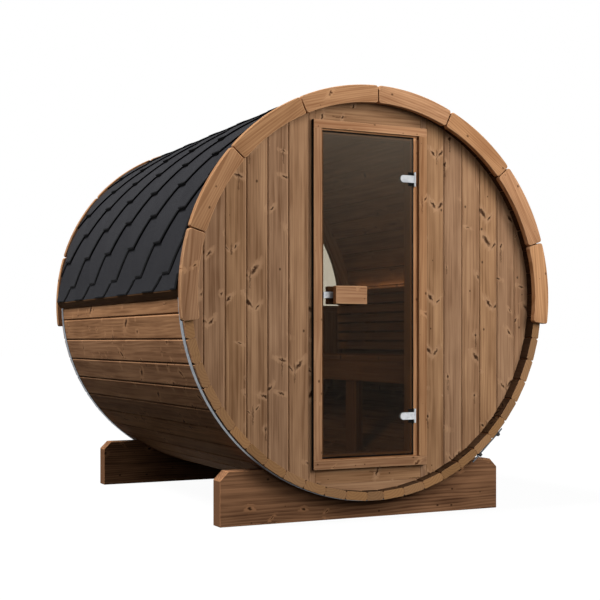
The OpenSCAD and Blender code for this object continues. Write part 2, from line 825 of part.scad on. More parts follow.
// Shingles bent over the top, where the courses of both sides meet
module roof_ridge() color(felt) {
  gap = piece_gap / under_r * 180 / PI;
  low = ridge_low + gap;
  outer = under_r + shingle_butt;
  difference() {
    along_barrel(-roof_y, roof_y) polygon([
      polar(inner_r, low), polar(outer, low), [0, outer], polar(outer, 180 - low), polar(inner_r, 180 - low)
    ]);
    axis_cylinder(roof_r, -end_y, end_y);
    strap_room();
  }
}

// Bearers on both end walls and over the leg, and the leg that stands on the staves
module bench_frame() color(timber) {
  for (y = bearer_y) intersection() {
    axis_cylinder(seat_r, y - bearer_t / 2, y + bearer_t / 2);
    box([frame_x, y - bearer_t, bearer_low], [barrel_r, y + bearer_t, seat_low]);
  }
  intersection() {
    axis_cylinder(seat_r, -leg_y - leg_w, -leg_y + leg_w);
    union() {
      box([frame_x, -leg_y - bearer_t / 2, bearer_low], [barrel_r, -leg_y + bearer_t / 2, seat_low]);
      box([frame_x, -leg_y - leg_w / 2, axis_z - barrel_r], [frame_x + leg_t, -leg_y + leg_w / 2, seat_low]);
    }
  }
}

module bench_seat() color(timber) for (k = [0 : slats_n - 1])
  translate([bench_x + k * (slat_w + slat_gap), -cabin_l / 2, seat_low]) cube([slat_w, cabin_l, slat_t]);

module bench_fascia() color(timber)
  translate([fascia_x, -cabin_l / 2, bearer_low]) cube([fascia_t, cabin_l, fascia_h]);

// Uprights between the backrest slats and the staves
module backrest_uprights() color(timber) for (y = [-upright_y, -leg_y, upright_y]) intersection() {
  axis_cylinder(seat_r, y - bearer_t / 2, y + bearer_t / 2);
  box([upright_x, y - bearer_t, backrest_low], [barrel_r, y + bearer_t, cap_low + cap_h]);
}

// Slats along the backrest, with a thicker rail on top
module backrest_slats() color(timber) {
  for (k = [0 : backrest_n - 1]) translate([backrest_x, -cabin_l / 2, backrest_low + k * backrest_step])
    cube([backrest_slat_t, cabin_l, backrest_slat_w]);
  translate([backrest_x - cap_over, -cabin_l / 2, cap_low]) cube([backrest_slat_t + cap_over, cabin_l, cap_h]);
}

front_cradle();
rear_cradle();
staves_bottom_right();
staves_right();
staves_top_right();
staves_top_left();
staves_left();
staves_bottom_left();
front_strap();
rear_strap();
strap_lugs();
strap_rods();
front_wall_left();
front_wall_right();
front_wall_header();
front_wall_apron();
door_studs();
door_jamb_left();
door_jamb_right();
door_head();
door_sill();
door_frame_seal();
hinge_plates();
door_glass();
hinge_clamps();
handle_outer();
handle_inner();
handle_spacers();
latch_plate();
rear_wall();
window_rail();
window_frame();
window_glass();
front_ring();
rear_ring();
eave_batten_left();
eave_batten_right();
roof_left();
roof_right();
roof_ridge();
bench_frame();
bench_seat();
bench_fascia();
backrest_uprights();
backrest_slats();
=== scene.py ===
import json
import math
import random
from collections import namedtuple

import bmesh
import bpy
from mathutils import Matrix, Vector


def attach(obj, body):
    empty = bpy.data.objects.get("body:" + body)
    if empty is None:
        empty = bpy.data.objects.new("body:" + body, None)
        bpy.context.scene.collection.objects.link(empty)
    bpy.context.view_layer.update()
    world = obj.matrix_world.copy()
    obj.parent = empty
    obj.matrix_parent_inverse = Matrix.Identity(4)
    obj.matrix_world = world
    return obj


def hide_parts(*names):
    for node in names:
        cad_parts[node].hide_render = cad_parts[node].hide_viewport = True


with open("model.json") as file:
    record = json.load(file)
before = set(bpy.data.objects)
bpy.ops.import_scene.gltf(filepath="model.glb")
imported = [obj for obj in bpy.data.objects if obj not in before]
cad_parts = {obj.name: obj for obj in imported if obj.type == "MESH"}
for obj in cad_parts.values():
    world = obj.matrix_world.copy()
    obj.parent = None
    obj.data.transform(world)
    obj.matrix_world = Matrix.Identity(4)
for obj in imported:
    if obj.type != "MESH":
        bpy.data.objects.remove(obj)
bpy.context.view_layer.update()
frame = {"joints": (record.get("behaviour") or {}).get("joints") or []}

UP, REAR, RIGHT = Vector((0, 0, 1)), Vector((0, 1, 0)), Vector((1, 0, 0))
DOWN, FRONT, LEFT = -UP, -REAR, -RIGHT
SHARP = math.radians(25)

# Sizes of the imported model, in metres
AXIS = 1.078            # height of the barrel's axis
BARREL_R = 0.985        # stave faces, outside
INNER_R = 0.943         # stave faces, inside
SEAT_R = 0.9426         # what rests on the staves inside
WALL_R = 0.9465         # edge of an end wall
END_Y = 1.05            # stave ends, from the middle
WALL_Y = 0.9875         # face of an end wall
CABIN_Y = 0.9455        # inner face of an end wall
STAVES = 52
STAVE_PITCH = math.radians(6.8203)
FIRST_JOINT = math.radians(272.673)
CLOSING_ARC = math.radians(5.346)
CASING_Y = 1.0155       # face of the door casing
CASING_HALF = 0.313
CASING_LOW, CASING_TOP = 0.248, 1.911
OPENING_HALF = 0.269    # doorway inside the casing
SILL_TOP, HEAD_LOW = 0.292, 1.871
LINER_LOW, LINER_TOP = 0.268, 1.891
GLASS_FACE, GLASS_BACK = 1.007, 0.999
HINGE_X, HINGE_Y, _ = frame["joints"][0]["pos_m"]
HINGES_Z = (0.491, 1.657)
HANDLE_Z = 1.079
FIT = 0.0005            # room between pieces that meet


# Mesh work

def shares(count):
    """Even steps from 0 to 1."""
    return [i / count for i in range(count + 1)]


def loft(rings):
    """Skins closed rings of points, one after another, and closes both ends."""
    board = bmesh.new()
    rows = [[board.verts.new(point) for point in ring] for ring in rings]
    count = len(rows[0])
    for a, b in zip(rows, rows[1:]):
        for i in range(count):
            j = (i + 1) % count
            board.faces.new((a[i], a[j], b[j], b[i]))
    board.faces.new(rows[0][::-1])
    board.faces.new(rows[-1])
    bmesh.ops.recalc_face_normals(board, faces=board.faces)
    return board


def on_axis(axis, a, b, t):
    """A point at t along an axis, with a and b across it."""
    return {"x": (t, a, b), "y": (a, t, b), "z": (a, b, t)}[axis]


def prism(outline, low, high, axis="y"):
    """Pulls an outline, drawn across an axis, along that axis from low to high."""
    return loft([[on_axis(axis, a, b, t) for a, b in outline] for t in (low, high)])


def turned(axis, centre, profile, sides=24):
    """A turned piece: profile is a list of (place along the axis, radius)."""
    angles = [2 * math.pi * i / sides for i in range(sides)]
    return loft([[on_axis(axis, centre[0] + r * math.cos(a), centre[1] + r * math.sin(a), t) for a in angles]
                 for t, r in profile])


def plank(low, high):
    """A squared piece between two corners."""
    outline = [(low[0], low[2]), (high[0], low[2]), (high[0], high[2]), (low[0], high[2])]
    return prism(outline, low[1], high[1])


def soften(board, width, steps=2, edges=None):
    """Rounds the sharp edges of a piece and marks the rounded faces."""
    if edges is None:
        edges = sharp_edges(board, SHARP)
    done = bmesh.ops.bevel(board, geom=edges, offset=width, segments=steps, profile=0.5,
                           affect="EDGES", clamp_overlap=True)
    for face in done["faces"]:
        face.material_index = 1
    return board


def sharp_edges(board, angle):
    return [e for e in board.edges if e.calc_face_angle(0.0) > angle]


def arc(r, a0, a1, steps):
    """Points on a circle, as offsets from its middle."""
    return [(r * math.cos(a0 + (a1 - a0) * s), r * math.sin(a0 + (a1 - a0) * s)) for s in shares(steps)]


def round_axis(r, a, y):
    """A point at radius r and angle a about the barrel's axis."""
    return (r * math.cos(a), y, AXIS + r * math.sin(a))


EASED = ((0.0, 1.0), (0.45, 0.42), (1.0, 0.06), (1.3, 0.0))    # way in and depth at a board's eased edge
TONGUE_IN = 0.002


def disc_board(x0, x1, y_face, y_back, low, high, vee=0.0050, columns=6):
    """A wall board in columns from x0 to x1, with eased face edges, cut to heights low(x) and high(x)."""
    into = 1 if y_back > y_face else -1
    cuts = [(x0 + vee * a, vee * b) for a, b in EASED]
    cuts += [(x0 + (x1 - x0) * i / columns, 0.0) for i in range(1, columns)]
    cuts += [(x1 - vee * a, vee * b) for a, b in reversed(EASED)]
    rings = []
    for x, depth in cuts:
        y = y_face + into * depth
        rings.append([(x, y, low(x)), (x, y, high(x)), (x, y_back, high(x)), (x, y_back, low(x))])
    board = loft(rings)
    board.faces.ensure_lookup_table()
    # Painted highlight: only the right-hand eased faces are marked, to be drawn lighter as if lit from the
    # right.
    for k in range(len(cuts) - len(EASED), len(cuts) - 1):
        board.faces[4 * k].material_index = 1
    return board


def tongue(x0, x1, y_face, y_back, low, high):
    """The tongue in a joint between two wall boards, across the gap from x0 to x1."""
    x0, x1 = x0 - TONGUE_IN, x1 + TONGUE_IN
    third = (y_back - y_face) / 3
    y0, y1 = sorted((y_face + third, y_back - third))
    z0, z1 = max(low(x0), low(x1)) + TONGUE_IN, min(high(x0), high(x1)) - TONGUE_IN
    return plank((x0, y0, z0), (x1, y1, z1))


def give(mesh, name, domain, values, kind="FLOAT"):
    """Writes an attribute on a mesh."""
    key = "value" if kind == "FLOAT" else "vector"
    mesh.attributes.new(name, kind, domain).data.foreach_set(key, values)


TREE_LOW, TREE_HIGH = (0.0, -0.05, -0.03), (60.0, 0.05, 0.03)     # where a board can lie in its tree


class Stock:
    """Boards gathered in one mesh, each with its place in its tree, its tone and its end grain.
    Its edge is 1 on rounded faces, which are drawn lighter, and on the right-hand chamfers of wall boards as
    a painted highlight; -1 where it is darkened as painted shade."""

    EDGES = (0.0, 1.0, -1.0)

    def __init__(self, seed):
        self.draw = random.Random(seed)
        self.points, self.faces, self.smooth = [], [], []
        self.grain, self.tone, self.end, self.edge = [], [], [], []

    def add(self, board, run, out, smooth=False, tone=None):
        """Adds a board whose grain follows run and whose broad side faces out."""
        side = out.cross(run)
        middle = sum((v.co for v in board.verts), Vector()) / len(board.verts)
        shift = Vector([self.draw.uniform(a, b) for a, b in zip(TREE_LOW, TREE_HIGH)])
        shade = self.draw.random() if tone is None else tone
        start = len(self.points)
        board.verts.index_update()
        board.normal_update()
        for v in board.verts:
            d = v.co - middle
            self.points.append(v.co[:])
            self.grain += (Vector((d.dot(run), d.dot(side), d.dot(out))) + shift)[:]
            self.tone.append(shade)
        for f in board.faces:
            self.faces.append([start + v.index for v in f.verts])
            self.end.append(1.0 if abs(f.normal.dot(run)) > 0.8 else 0.0)
            self.edge.append(self.EDGES[f.material_index])
            self.smooth.append(smooth)
        board.free()
        return self

    def mesh(self, name, toned=True):
        """The finished mesh."""
        mesh = bpy.data.meshes.new(name)
        mesh.from_pydata(self.points, [], self.faces)
        give(mesh, "grain", "POINT", self.grain, "FLOAT_VECTOR")
        if toned:
            give(mesh, "tone", "POINT", self.tone)
        give(mesh, "end_grain", "FACE", self.end)
        give(mesh, "edge", "FACE", self.edge)
        mesh.polygons.foreach_set("use_smooth", self.smooth)
        if any(self.smooth):
            mesh.set_sharp_from_angle(angle=SHARP)
        mesh.update()
        return mesh

    def piece(self, name, finish, *nodes, body="shell"):
        """The boards as a piece of the sauna."""
        return finish_piece(name, self.mesh(name), finish, *nodes, body=body)


def plain_mesh(name, boards, smooth=False):
    """One mesh, without timber data, of several worked pieces."""
    whole = bmesh.new()
    for board in boards:
        part = bpy.data.meshes.new("part")
        board.to_mesh(part)
        board.free()
        whole.from_mesh(part)
        bpy.data.meshes.remove(part)
    for face in whole.faces:
        face.material_index = 0
        face.smooth = smooth
    mesh = bpy.data.meshes.new(name)
    whole.to_mesh(mesh)
    whole.free()
    if smooth:
        mesh.set_sharp_from_angle(angle=SHARP)
    return mesh


Finish = namedtuple("Finish", "material slot")


def finish_piece(name, mesh, finish, *nodes, body="shell"):
    """Puts a finished mesh in the scene as a piece of the sauna."""
    piece = bpy.data.objects.new(name, mesh)
    bpy.context.scene.collection.objects.link(piece)
    mesh.materials.clear()
    mesh.materials.append(finish.material)
    return declare(piece, finish, *nodes, body=body)


def declare(piece, finish, *nodes, body="shell"):
    """Attaches a piece to what it rides on and hides the solids it stands for; its finish is not used."""
    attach(piece, body)
    if nodes:
        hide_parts(*nodes)
    return piece


def plain_piece(name, boards, finish, *nodes, smooth=False, body="shell"):
    """Worked pieces without timber data as a piece of the sauna."""
    return finish_piece(name, plain_mesh(name, boards, smooth), finish, *nodes, body=body)


# Node work

class Net:
    """Places and wires nodes in a tree."""

    def __init__(self, tree):
        self.tree = tree

    def add(self, kind, inputs=(), **settings):
        made = self.tree.nodes.new(kind)
        for key, value in settings.items():
            setattr(made, key, value)
        for key, value in dict(inputs).items():
            self.feed(made.inputs[key], value)
        return made

    def feed(self, socket, value):
        if isinstance(value, bpy.types.NodeSocket):
            self.tree.links.new(value, socket)
        elif value is not None:
            socket.default_value = value

    def math(self, operation, a, b=None, c=None, clamp=False):
        return self.add("ShaderNodeMath", {0: a, 1: b, 2: c}, operation=operation, use_clamp=clamp).outputs[0]

    def times(self, a, b):
        return self.math("MULTIPLY", a, b)

    def less(self, a, b):
        return self.math("SUBTRACT", a, b)

    def blend(self, a, share, base, clamp=False):
        """base plus a share of a."""
        return self.math("MULTIPLY_ADD", a, share, base, clamp)

    def length(self, a, b):
        return self.math("SQRT", self.math("ADD", self.times(a, a), self.times(b, b)))

    def mix(self, factor, a, b, mode="MIX"):
        made = self.add("ShaderNodeMix", {0: factor, 6: a, 7: b}, data_type="RGBA", blend_type=mode)
        return made.outputs[2]

    def span(self, value, low, high, out_low=0.0, out_high=1.0):
        return self.add("ShaderNodeMapRange", {0: value, 1: low, 2: high, 3: out_low, 4: out_high},
                        interpolation_type="SMOOTHSTEP").outputs[0]

    def vector(self, x, y, z):
        return self.add("ShaderNodeCombineXYZ", {0: x, 1: y, 2: z}).outputs[0]

    def split(self, vector):
        return self.add("ShaderNodeSeparateXYZ", {0: vector}).outputs

    def lots(self, colour):
        return self.add("ShaderNodeSeparateColor", {0: colour}).outputs

    def vectors(self, operation, a, b):
        return self.add("ShaderNodeVectorMath", {0: a, 1: b}, operation=operation).outputs[0]

    def noise(self, vector, scale, detail=2.0, rough=0.5, put_out="Fac"):
        return self.add("ShaderNodeTexNoise", {"Vector": vector, "Scale": scale, "Detail": detail,
                                               "Roughness": rough}).outputs[put_out]

    def stretched(self, vector, factors, detail=2.0, rough=0.5):
        """Noise with its own scale along each axis."""
        return self.noise(self.vectors("MULTIPLY", vector, factors), 1.0, detail, rough)

    def attribute(self, name, put_out="Fac"):
        return self.add("ShaderNodeAttribute", attribute_name=name).outputs[put_out]

    def place(self):
        return self.add("ShaderNodeTexCoord").outputs["Object"]

    def bump(self, height, distance, strength):
        made = self.add("ShaderNodeBump", {"Height": height, "Distance": distance, "Strength": strength})
        return made.outputs[0]

    def mix_shaders(self, factor, a, b):
        return self.add("ShaderNodeMixShader", {0: factor, 1: a.outputs[0], 2: b.outputs[0]})

    def surface(self, shader, kind="Material"):
        self.add("ShaderNodeOutput" + kind, {"Surface": shader.outputs[0]})


def new_tree(name, kind, inputs, outputs):
    """A node group with named sockets: its tree, its net and what it is given."""
    tree = bpy.data.node_groups.new(name, kind)
    for way, rows in (("INPUT", inputs), ("OUTPUT", outputs)):
        for label, socket, *value in rows:
            made = tree.interface.new_socket(name=label, in_out=way, socket_type="NodeSocket" + socket)
            if value:
                made.default_value = value[0]
    net = Net(tree)
    return tree, net, net.add("NodeGroupInput").outputs


def ellipse(net, u, v, length, width):
    """How far a point lies from the middle of an ellipse, 1 on its rim."""
    return net.length(net.math("DIVIDE", u, length), net.math("DIVIDE", v, width))


def turned_by(net, u, v, degrees):
    """Two coordinates turned in their plane."""
    c, s = math.cos(math.radians(degrees)), math.sin(math.radians(degrees))
    return net.blend(u, c, net.times(v, s)), net.blend(v, c, net.times(u, -s))


def spots(net, along, across, cell):
    """One spot in each cell of a board's face: three lots drawn for it, and the way from it."""
    place = net.vector(along, across, 0.0)
    found = net.add("ShaderNodeTexVoronoi", {"Vector": place, "Scale": 1.0 / cell, "Randomness": 0.85},
                    voronoi_dimensions="2D", feature="F1").outputs
    return net.lots(found["Color"]), net.split(net.vectors("SUBTRACT", place, found["Position"]))


KNOT_CELL, PIN_CELL = 0.145, 0.085      # room for one knot, and for one pin knot
ROUND_KNOT = (0.0105, 0.0075)           # half length and half width
PAIR_KNOT, PAIR_TURN, PAIR_APART = (0.0210, 0.0068), 40, 0.0215
SPIKE_KNOT, SPIKE_TURN = (0.0240, 0.0066), 74
PAIR_SHARE, SPIKE_SHARE = 0.40, 0.30    # of all knots


def knots(net, along, across, share):
    """Round knots, slanted spikes and pairs of spikes in a V: distance from the heart, 1 on its rim,
    and thin shakes."""
    lots, (u, v, _) = spots(net, along, across, KNOT_CELL)
    ragged = net.lots(net.noise(net.vector(along, across, 0.0), 75.0, 3.0, put_out="Color"))
    u = net.blend(net.less(ragged[0], 0.5), 0.026, u)
    v = net.blend(net.less(ragged[1], 0.5), 0.020, v)
    plain = ellipse(net, u, v, *ROUND_KNOT)
    skew = net.times(net.math("SIGN", v), net.less(lots[2], 0.5))
    apart = net.less(net.math("ABSOLUTE", v), PAIR_APART)
    pair = ellipse(net, *turned_by(net, net.blend(skew, 0.030, u), apart, PAIR_TURN), *PAIR_KNOT)
    pair = net.times(pair, net.blend(skew, 0.9, 1.05))
    spike = ellipse(net, *turned_by(net, u, v, SPIKE_TURN), *SPIKE_KNOT)
    is_pair = net.math("LESS_THAN", lots[1], PAIR_SHARE)
    is_spike = net.math("GREATER_THAN", lots[1], 1.0 - SPIKE_SHARE)
    away = net.blend(is_pair, net.less(pair, plain), plain)
    away = net.blend(is_spike, net.less(spike, plain), away)
    away = net.math("DIVIDE", away, net.span(lots[0], 0.0, share, 0.5, 1.25))
    absent = net.math("GREATER_THAN", lots[0], share)
    away = net.blend(absent, 20.0, away)
    shake = net.times(net.span(net.math("ABSOLUTE", v), 0.0048, 0.0010),
                      net.times(net.span(u, -0.17, -0.02), net.span(u, 0.03, 0.0)))
    is_split = net.times(net.less(1.0, absent), net.math("GREATER_THAN", lots[2], 0.55))
    return away, net.times(shake, is_split)


def pin_knots(net, along, across, share):
    """Small dark dots."""
    lots, (u, v, _) = spots(net, along, across, PIN_CELL)
    size = net.span(lots[1], 0.0, 1.0, 0.0016, 0.0056)
    away = net.math("DIVIDE", ellipse(net, u, v, 1.3, 1.0), size)
    return net.times(net.math("LESS_THAN", lots[0], share), net.span(away, 1.3, 0.6))


TIMBER_INPUTS = (
    ("Light", "Color", (0.4, 0.25, 0.15, 1)),
    ("Dark", "Color", (0.2, 0.1, 0.05, 1)),
    ("Knot", "Color", (0.05, 0.02, 0.01, 1)),
    ("End Grain", "Color", (0.3, 0.2, 0.1, 1)),
    ("Ring Width", "Float", 0.008),
    ("Ring Strength", "Float", 0.2),
    ("Knot Share", "Float", 0.3),
    ("Pin Share", "Float", 0.1),
    ("Tone Spread", "Float", 0.25),
)
METAL_INPUTS = (
    ("Clean", "Color", (0.6, 0.6, 0.6, 1)),
    ("Stained", "Color", (0.4, 0.4, 0.4, 1)),
    ("Smoothest", "Float", 0.25),
    ("Stain Size", "Float", 0.03),
)
FINISH_OUTPUTS = (("Color", "Color"), ("Roughness", "Float"), ("Height", "Float"))
PITH_DEPTH = 0.035
BLACK, PAINTED_SHADE = (0.0, 0.0, 0.0, 1.0), (0.006, 0.004, 0.003, 1.0)


def board_timber_group():
    """Knotty softwood on the boards' own grain coordinates."""
    tree, net, given = new_tree("board_timber", "ShaderNodeTree", TIMBER_INPUTS, FINISH_OUTPUTS)
    grain = net.attribute("grain", "Vector")
    tone, end, edge = (net.attribute(name) for name in ("tone", "end_grain", "edge"))
    along, across, depth = net.split(grain)

    def streaks(stretch, width, detail, rough=0.5):
        """Noise drawn out along the grain."""
        return net.stretched(grain, (stretch, width, width), detail, rough)

    away, shake = knots(net, along, across, given["Knot Share"])
    heart = net.span(away, 1.22, 0.50)
    core = net.span(away, 0.75, 0.25)
    halo = net.span(away, 3.4, 0.9)
    pin = pin_knots(net, along, across, given["Pin Share"])

    # Growth rings about a wandering pith
    bent = net.blend(net.less(streaks(0.9, 4.0, 2.0), 0.5), 0.11, across)
    reach = net.length(bent, net.math("ADD", depth, PITH_DEPTH))
    reach = net.blend(streaks(3.0, 34.0, 2.0), 0.006, net.blend(halo, 0.010, reach))
    turn = net.math("FRACT", net.math("DIVIDE", reach, given["Ring Width"]))
    ring = net.times(net.span(turn, 0.15, 0.85), net.span(turn, 1.0, 0.9))

    # Broad streaks, fine streaks, patches, dark lines and fibre
    broad = net.span(streaks(0.7, 24.0, 4.0, 0.65), 0.28, 0.72)
    fine = net.span(streaks(2.2, 105.0, 3.0, 0.6), 0.30, 0.70)
    patch = net.span(streaks(3.5, 13.0, 2.0), 0.25, 0.75)
    line = net.span(streaks(0.7, 145.0, 1.0), 0.60, 0.76)
    fibre = streaks(9.0, 330.0, 3.0, 0.6)
    shade = net.times(broad, 0.32)
    for layer, weight in ((fine, 0.30), (patch, 0.30), (ring, given["Ring Strength"]), (line, 0.18)):
        shade = net.blend(layer, weight, shade)
    shade = net.blend(net.less(fibre, 0.5), 0.35, shade, clamp=True)
    colour = net.mix(shade, given["Light"], given["Dark"])

    # Each board's own tone and warmth, then its knots
    level = net.blend(net.less(tone, 0.5), given["Tone Spread"], 1.0)
    hue = net.less(net.math("FRACT", net.times(tone, 7.3)), 0.5)
    warmth = net.vector(net.times(level, net.blend(hue, 0.05, 1.0)), level,
                        net.times(level, net.blend(hue, -0.14, 1.0)))
    colour = net.mix(1.0, colour, warmth, "MULTIPLY")
    deep_knot = net.mix(0.45, given["Knot"], BLACK)
    darkest = net.math("MAXIMUM", core, pin)
    for mask, weight, paint in ((halo, 0.55, given["Light"]), (shake, 0.62, given["Knot"]),
                                (heart, 0.80, given["Knot"]), (darkest, 0.75, deep_knot)):
        colour = net.mix(net.times(mask, weight), colour, paint)

    # End grain, lighter rounded edges (a painted highlight on wall boards' right-hand chamfers) and inner
    # faces darkened as painted shade
    pores = streaks(60.0, 420.0, 3.0, 0.7)
    end_colour = net.mix(net.blend(ring, 0.22, net.times(pores, 0.5)), given["End Grain"], given["Dark"])
    end_colour = net.mix(1.0, end_colour, warmth, "MULTIPLY")
    for mask, weight, paint in ((end, 0.92, end_colour), (edge, 0.50, given["Light"]),
                                (edge, -0.82, PAINTED_SHADE)):
        colour = net.mix(net.times(mask, weight), colour, paint)

    rough = net.blend(end, 0.15, net.blend(fibre, 0.22, 0.52))
    height = net.blend(heart, -0.3, net.blend(ring, 0.35, net.times(fibre, 0.65)))
    net.add("NodeGroupOutput", {"Color": colour, "Roughness": rough, "Height": height})
    return tree


def worn_metal_group():
    """Brush lines and faint stains on metal."""
    tree, net, given = new_tree("worn_metal", "ShaderNodeTree", METAL_INPUTS, FINISH_OUTPUTS)
    place = net.place()
    stain = net.noise(place, net.math("DIVIDE", 1.0, given["Stain Size"]), 4.0, 0.6)
    brushed = net.stretched(place, (30.0, 30.0, 1500.0))
    colour = net.mix(net.span(stain, 0.42, 0.7), given["Clean"], given["Stained"])
    rough = net.blend(stain, 0.1, net.blend(brushed, 0.18, given["Smoothest"]))
    net.add("NodeGroupOutput", {"Color": colour, "Roughness": rough, "Height": brushed})
    return tree


BOARD_TIMBER = board_timber_group()
WORN_METAL = worn_metal_group()


def srgb(r, g, b):
    """A colour written as it shows on a screen, 0 to 255, in linear light."""
    linear = [((c / 255 + 0.055) / 1.055) ** 2.4 if c > 10 else c / 255 / 12.92 for c in (r, g, b)]
    return (*linear, 1.0)


def material_net(name):
    """A new material with an emptied node tree."""
    material = bpy.data.materials.new(name)
    material.use_nodes = True
    material.node_tree.nodes.clear()
    return material, Net(material.node_tree)


def grouped(name, slot, tree, rows, values, bump, plain):
    """A finish whose colour, roughness and bump come from a node group; plain holds constants."""
    material, net = material_net(name)
    group = net.add("ShaderNodeGroup", node_tree=tree)
    for (key, *_), value in zip(rows, values):
        group.inputs[key].default_value = value
    made = group.outputs
    net.surface(net.add("ShaderNodeBsdfPrincipled", {
        "Base Color": made["Color"], "Roughness": made["Roughness"],
        "Normal": net.bump(made["Height"], *bump), **plain}))
    return Finish(material, slot)


def timber(name, slot, light, dark, knot, end, ring, rings, share, pins, spread):
    """Softwood: its colours, then ring width and strength, shares of knots and pins, spread of tone."""
    values = (light, dark, knot, end, ring, rings, share, pins, spread)
    return grouped(name, slot, BOARD_TIMBER, TIMBER_INPUTS, values, (0.0006, 0.5),
                   {"Specular IOR Level": 0.004})


def metal(slot, clean, stained, smoothest, metallic, stain_size=0.03):
    values = (clean, stained, smoothest, stain_size)
    return grouped(slot, slot, WORN_METAL, METAL_INPUTS, values, (0.0002, 0.15), {"Metallic": metallic})


HAZE_RIM = 0.003


def glass(slot, tint, ior, haze_low, haze_high, haze_box):
    """Tinted glass that lets light through, with a haze of dust and painted reflection that thickens towards
    the top of its box.
    """
    material, net = material_net(slot)
    place = net.place()
    cloud = net.noise(place, 5.0, 4.0, 0.6)
    pane = net.add("ShaderNodeBsdfPrincipled", {
        "Base Color": tint, "Roughness": net.span(cloud, 0.4, 0.8, 0.0, 0.02), "Transmission Weight": 1.0,
        "IOR": ior})
    haze_and_reflection = net.add("ShaderNodeBsdfDiffuse", {0: srgb(156, 143, 127)})
    x, _, z = net.split(place)
    x0, x1, z0, z1 = haze_box
    # Painted reflection: the haze rises towards the top of the box.
    rise = net.math("POWER", net.math("DIVIDE", net.less(z, z0), z1 - z0, clamp=True), 3.0)
    film = net.blend(rise, haze_high - haze_low, haze_low)
    film = net.times(film, net.span(cloud, 0.2, 0.8, 0.9, 1.1))
    for value, edge, inside in ((x, x0, x0 + HAZE_RIM), (x, x1, x1 - HAZE_RIM), (z, z1, z1 - HAZE_RIM)):
        film = net.times(film, net.span(value, edge, inside))
    passing = net.add("ShaderNodeBsdfTransparent", {0: tint})
    path = net.add("ShaderNodeLightPath").outputs
    net.surface(net.mix_shaders(path["Is Shadow Ray"], net.mix_shaders(film, pane, haze_and_reflection), passing))
    return Finish(material, slot)


FRONT_SHADOW_WIDTHS = (0.032, 0.017)      # width of the painted shadow along a tab's front edge, near the eave and near the ridge
LOW_SHADOW_WIDTH = 0.011                 # width of the painted shadow along a tab's lower edge


def shingle_finish():
    """Bitumen shingle: slate granules, a tone for each tab, dark cut edges, and painted shadow along each
    tab's front and lower edges.
    """
    material, net = material_net("shingle")
    place = net.place()
    edge = net.attribute("edge")
    front, _, low = net.split(net.attribute("tab", "Vector"))
    front_shadow_width = net.span(net.split(place)[2], AXIS + 0.05, AXIS + 0.80, *FRONT_SHADOW_WIDTHS)
    # Painted shadow: dark bands along each tab's front and lower edges, wider towards the eave.
    for way, width in ((front, front_shadow_width), (low, LOW_SHADOW_WIDTH)):
        edge = net.math("MAXIMUM", edge, net.span(way, width, net.times(width, 0.7)))
    grit = net.add("ShaderNodeTexVoronoi", {"Vector": place, "Scale": 520.0}).outputs
    fleck = net.lots(grit["Color"])[0]
    cloud = net.noise(place, 9.0, 4.0, 0.6)
    colour = net.mix(fleck, srgb(31, 31, 33), srgb(58, 58, 61))
    colour = net.mix(net.span(cloud, 0.3, 0.75, 0.0, 0.4), colour, srgb(38, 38, 41))
    colour = net.mix(net.times(net.attribute("tone"), 0.4), colour, srgb(32, 32, 35))
    net.surface(net.add("ShaderNodeBsdfPrincipled", {
        "Base Color": net.mix(edge, colour, srgb(9, 9, 10)), "Roughness": net.blend(fleck, 0.15, 0.80),
        "Specular IOR Level": 0.06, "Normal": net.bump(net.less(1.0, grit["Distance"]), 0.0012, 0.7)}))
    return Finish(material, "shingle")


def seal_finish():
    """Soft black rubber with a dusty bloom."""
    material, net = material_net("black_seal")
    bloom = net.noise(net.place(), 60.0, 4.0, 0.6)
    net.surface(net.add("ShaderNodeBsdfPrincipled", {
        "Base Color": net.mix(net.span(bloom, 0.45, 0.8), srgb(14, 13, 12), srgb(34, 32, 30)),
        "Roughness": net.blend(bloom, 0.2, 0.6), "Specular IOR Level": 0.08,
        "Normal": net.bump(bloom, 0.0003, 0.3)}))
    return Finish(material, "black_seal")


KNOT = srgb(68, 43, 30)
FRAME_COLOURS = (srgb(196, 150, 110), srgb(140, 97, 66), srgb(92, 58, 38), srgb(150, 104, 68))
STAVE = timber("stave_timber", "stave_timber", srgb(184, 138, 101), srgb(114, 79, 55), KNOT,
               srgb(172, 131, 89), ring=0.013, rings=0.18, share=0.55, pins=0.10, spread=0.40)
WALL = timber("wall_timber", "wall_timber", srgb(187, 147, 112), srgb(112, 78, 54), KNOT, srgb(150, 108, 72),
              ring=0.014, rings=0.14, share=0.72, pins=0.09, spread=0.26)
TRIM = timber("frame_timber", "frame_timber", *FRAME_COLOURS,
              ring=0.010, rings=0.26, share=0.16, pins=0.50, spread=0.46)
CASING = timber("casing_timber", "frame_timber", *FRAME_COLOURS,
                ring=0.010, rings=0.26, share=0.20, pins=0.95, spread=0.46)
CRADLE = timber("dark_timber", "dark_timber", srgb(172, 124, 87), srgb(88, 58, 39), srgb(48, 30, 20),
                srgb(122, 87, 62), ring=0.012, rings=0.30, share=0.40, pins=0.15, spread=0.2)
BATTEN = timber("batten_timber", "dark_timber", srgb(116, 84, 58), srgb(74, 52, 36), srgb(34, 23, 16),
                srgb(90, 64, 44), ring=0.010, rings=0.2, share=0.15, pins=0.05, spread=0.15)
BENCH = timber("bench_timber", "bench_timber", srgb(176, 130, 92), srgb(126, 86, 60), KNOT,
               srgb(140, 100, 68), ring=0.012, rings=0.2, share=0.4, pins=0.1, spread=0.2)
GALVANISED = metal("galvanised_steel", srgb(146, 151, 157), srgb(112, 118, 125), 0.36, 0.9, 0.02)
BLACK_STEEL = metal("black_steel", srgb(24, 24, 25), srgb(38, 37, 36), 0.38, 0.0)
SATIN_STEEL = metal("satin_steel", srgb(214, 216, 218), srgb(192, 194, 197), 0.30, 1.0)
